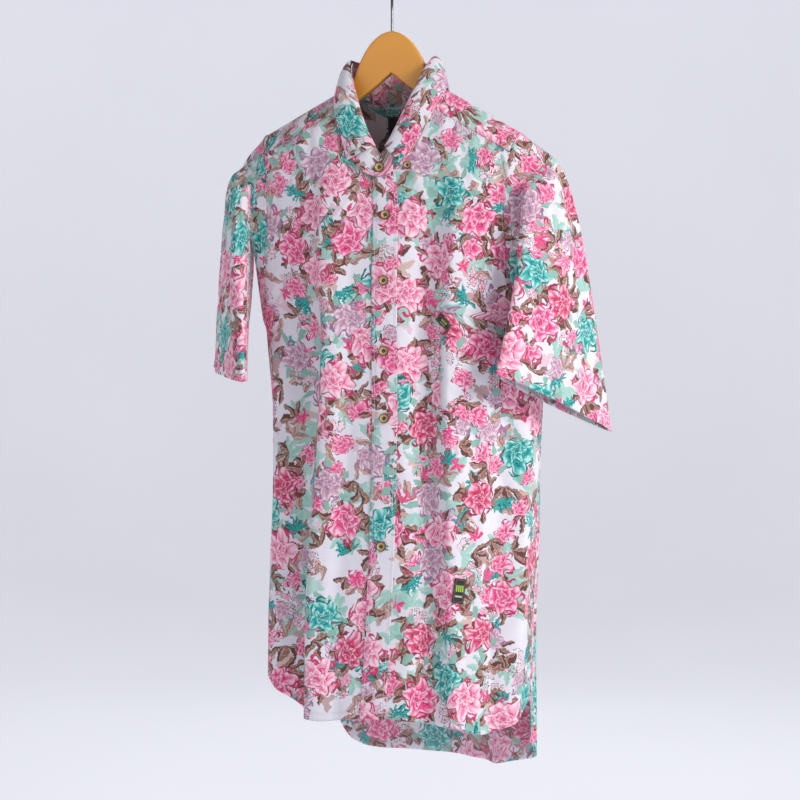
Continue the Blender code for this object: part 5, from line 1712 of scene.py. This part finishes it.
# %% Label, button, thread, wood, steel and sweep


def woven_label(material):
    """Black satin tape with a gold border line and a few lime bars where words would be."""
    finish = Finish(material, Roughness=0.62, Sheen_Weight=0.2)
    cloth = finish.node("UVMap", {"uv_map": "cloth"})
    u, v, _ = finish.parts(cloth)
    high = finish.field("tall_m")
    row = v / high
    border = within(0.00030 - abs(finish.field("edge_m") - 0.0016), 0.0002)
    bar = within(0.13 - abs(row - 0.10), 0.03) * within(0.0050 - abs(u), 0.0004)
    bar = bar * within(fract(u * 420.0 + row * 1.2) - 0.34, 0.10)
    line = within(0.035 - abs(row + 0.22), 0.02) * within(0.0042 - abs(u), 0.0004)
    colour = finish.mix(tint("12161C"), tint("8A6A2E"), border * 0.8)
    colour = finish.mix(colour, tint("A9CF3A"), bar)
    colour = finish.mix(colour, tint("D8D8C8"), line * 0.8)
    twill = sin((u + v) * (2.0 * math.pi / 0.0005))
    colour = finish.mix(colour, (0.0, 0.0, 0.0, 1.0), (twill * 0.12 + 0.12))
    bump = finish.node("Bump", None, 0, Strength=0.6, Distance=1.0, Height=twill * 0.00004 + bar * 0.0001)
    finish.set(Base_Color=colour, Normal=bump, Roughness=0.6 + twill * 0.05)


def horn(material):
    """Tan horn-effect resin: dark rim, paler ring, dark centre, with cloudy grain; its four holes painted
    near-black as shade.
    """
    finish = Finish(material, Coat_Weight=0.25, Coat_Roughness=0.2)
    ring = finish.field("ring")
    place = finish.node("TexCoord", None, 3)
    cloud = finish.noise(place, 420.0, 3.0, "3D")
    grain = finish.noise(finish.vector("MULTIPLY", place, (300.0, 2200.0, 2200.0)), 1.0, 2.0, "3D")
    colour = finish.mix(tint("B08A50"), tint("D8B983"), cloud)
    colour = finish.mix(colour, tint("6B4A22"), within(grain - 0.58, 0.2) * 0.35)
    rim = within(ring - 0.80, 0.06)
    middle = within(0.36 - ring, 0.10)
    colour = finish.mix(colour, tint("2E2118"), (rim * 0.92).math("MAXIMUM", middle * 0.85))
    across = abs(abs(finish.field("face_x")) - HOLE_OFF)
    upward = abs(abs(finish.field("face_y")) - HOLE_OFF)
    hole = within(HOLE_WIDE - (across * across + upward * upward).math("SQRT"), 0.0002)
    # Painted shade: each thread hole's dimple is coloured near-black for the dark inside of a hole.
    colour = finish.mix(colour, tint("0C0806"), hole)
    bump = finish.node("Bump", None, 0, Strength=0.3, Distance=1.0, Height=grain * 0.00006)
    finish.set(Base_Color=colour, Roughness=0.34 + cloud * 0.16, Normal=bump)


def sewing_thread(material, shade, light):
    """Twisted cotton thread: fine slanting plies, pale on their crowns and darker between them with painted
    shade.
    """
    finish = Finish(material, Roughness=0.8, Sheen_Weight=0.2)
    x, y, z = finish.parts(finish.node("TexCoord", None, 3))
    ply = sin((x + y * 0.6 + z) * (2.0 * math.pi / 0.0006))
    bump = finish.node("Bump", None, 0, Strength=0.5, Distance=1.0, Height=ply * 0.00005)
    # Painted shade: the colour follows the ply bump, darker in the grooves between plies and lighter on their
    # crowns.
    finish.set(Base_Color=finish.mix(shade, light, ply * 0.3 + 0.6), Normal=bump)


def lacquered_wood(material):
    """Honey lacquer on fine straight grain that follows the arms, with soft growth bands."""
    finish = Finish(material, Coat_Roughness=0.25)
    place = finish.node("TexCoord", None, 3)
    x, y, z = finish.parts(place)
    bend = finish.noise(finish.vector("MULTIPLY", place, (9.0, 9.0, 22.0)), 1.0, 2.0, "3D")
    band = sin((z * 120.0 + abs(x) * 46.0 + bend * 7.0))
    fibre = finish.noise(finish.vector("MULTIPLY", place, (90.0, 900.0, 900.0)), 1.0, 3.0, "3D")
    colour = finish.mix(tint("D79A45"), tint("C98A3A"), band * 0.25 + 0.5)
    colour = finish.mix(colour, tint("A9652A"), within(fibre - 0.60, 0.16) * 0.30)
    colour = finish.mix(colour, tint("E39A33"), within(abs(y) - 0.0045, 0.0022) * 0.75)
    height = fibre * 0.00010 + band * 0.00003
    bump = finish.node("Bump", None, 0, Strength=0.35, Distance=1.0, Height=height)
    coat = 0.25 + fibre * 0.2
    finish.set(Base_Color=colour, Roughness=0.36 + fibre * 0.16, Coat_Weight=coat, Normal=bump)


def drawn_wire(material):
    """Zinc-plated wire: faint drawing lines along it and dull spots."""
    finish = Finish(material, Metallic=1.0)
    place = finish.node("TexCoord", None, 3)
    lines = finish.noise(finish.vector("MULTIPLY", place, (3000.0, 3000.0, 60.0)), 1.0, 2.0, "3D")
    spots = finish.noise(place, 260.0, 3.0, "3D")
    colour = finish.mix(tint("8E8E92"), tint("56565A"), within(spots - 0.56, 0.3) * 0.6)
    bump = finish.node("Bump", None, 0, Strength=0.3, Distance=1.0, Height=lines * 0.00004)
    finish.set(Base_Color=colour, Roughness=0.22 + spots * 0.2, Normal=bump)


woven_label(LABEL_FINISH)
horn(BUTTON_FINISH)
sewing_thread(THREAD_FINISH, tint("B79FB2"), tint("EDE4EC"))
sewing_thread(DARK_THREAD, tint("140E0A"), tint("3A2A1C"))
lacquered_wood(WOOD_FINISH)
drawn_wire(STEEL_FINISH)
print("finishes", len(bpy.data.materials))

# %% [markdown]
# ## Floor and backdrop
#
# A pale round sweep: a flat floor whose rim curves up all round, so that every side view has a plain
# ground and no horizon. A single plane would do for one view only.

# %% Sweep
FLOOR_Z = -1.25
SWEEP_FLAT = 2.8                   # where the floor starts to curve up
SWEEP_RISE = 2.2
SWEEP_GLOW = 0.50                  # its own light, which keeps it pale all round
sweep_turn = np.linspace(0.0, 2.0 * math.pi, 96, endpoint=False)
sweep_bend = np.linspace(0.0, math.pi / 2.0, 16)
sweep_radius = np.concatenate([[0.0, 1.2, 2.6], SWEEP_FLAT + SWEEP_RISE * np.sin(sweep_bend)])
sweep_height = np.concatenate([[0.0, 0.0, 0.0], SWEEP_RISE * (1.0 - np.cos(sweep_bend))]) + FLOOR_Z
sweep_x, sweep_y = [np.outer(sweep_radius, way(sweep_turn)) for way in (np.cos, np.sin)]
sweep_grid = np.stack([sweep_x, sweep_y, np.repeat(sweep_height[:, None], len(sweep_turn), axis=1)], -1)
STAGE_FINISH = new_finish("studio_sweep")
sweep_quads = grid_quads(*sweep_grid.shape[:2], wrap=True)
sweep = mesh_piece("studio_sweep", sweep_grid, sweep_quads, [STAGE_FINISH])
welded(sweep, "closed_pole", 1e-5)
sweep_finish = Finish(STAGE_FINISH, Roughness=0.95, Specular_IOR_Level=0.1, Emission_Strength=SWEEP_GLOW)
sweep_cloud = sweep_finish.noise(sweep_finish.node("TexCoord", None, 3), 1.5, 2.0, "3D")
sweep_tone = sweep_finish.mix(tint("D6D7DE"), tint("DCDDE3"), sweep_cloud)
sweep_finish.set(Base_Color=sweep_tone, Emission_Color=sweep_tone)
print("sweep", len(sweep_quads), "quads")

# %% [markdown]
# ## The cut
#
# Each panel's flat cut is printed: the size that it was cut to. The cloth doesn't stretch, so its
# flat size is the length of its rows and columns along the folds, and its area is that of its grid.

# %% Sheets
CUT = (
    (front_left, left_grid, "front left"), (front_right, right_grid, "front right"),
    (placket, band_grid, "button band"), (back_piece, back, "back"), (yoke_piece, yoke, "yoke"),
    (sleeve_left, left_sleeve_grid, "sleeve left"), (sleeve_right, right_sleeve_grid, "sleeve right"),
    (collar_stand, stand, "collar stand"), (collar_leaf, leaf, "collar leaf"),
    (pocket_piece, pocket_grid, "pocket"),
)
for panel, panel_grid, panel_name in CUT:
    declare_sheet(panel_grid, panel_name, wrap=panel_name.startswith("sleeve"))
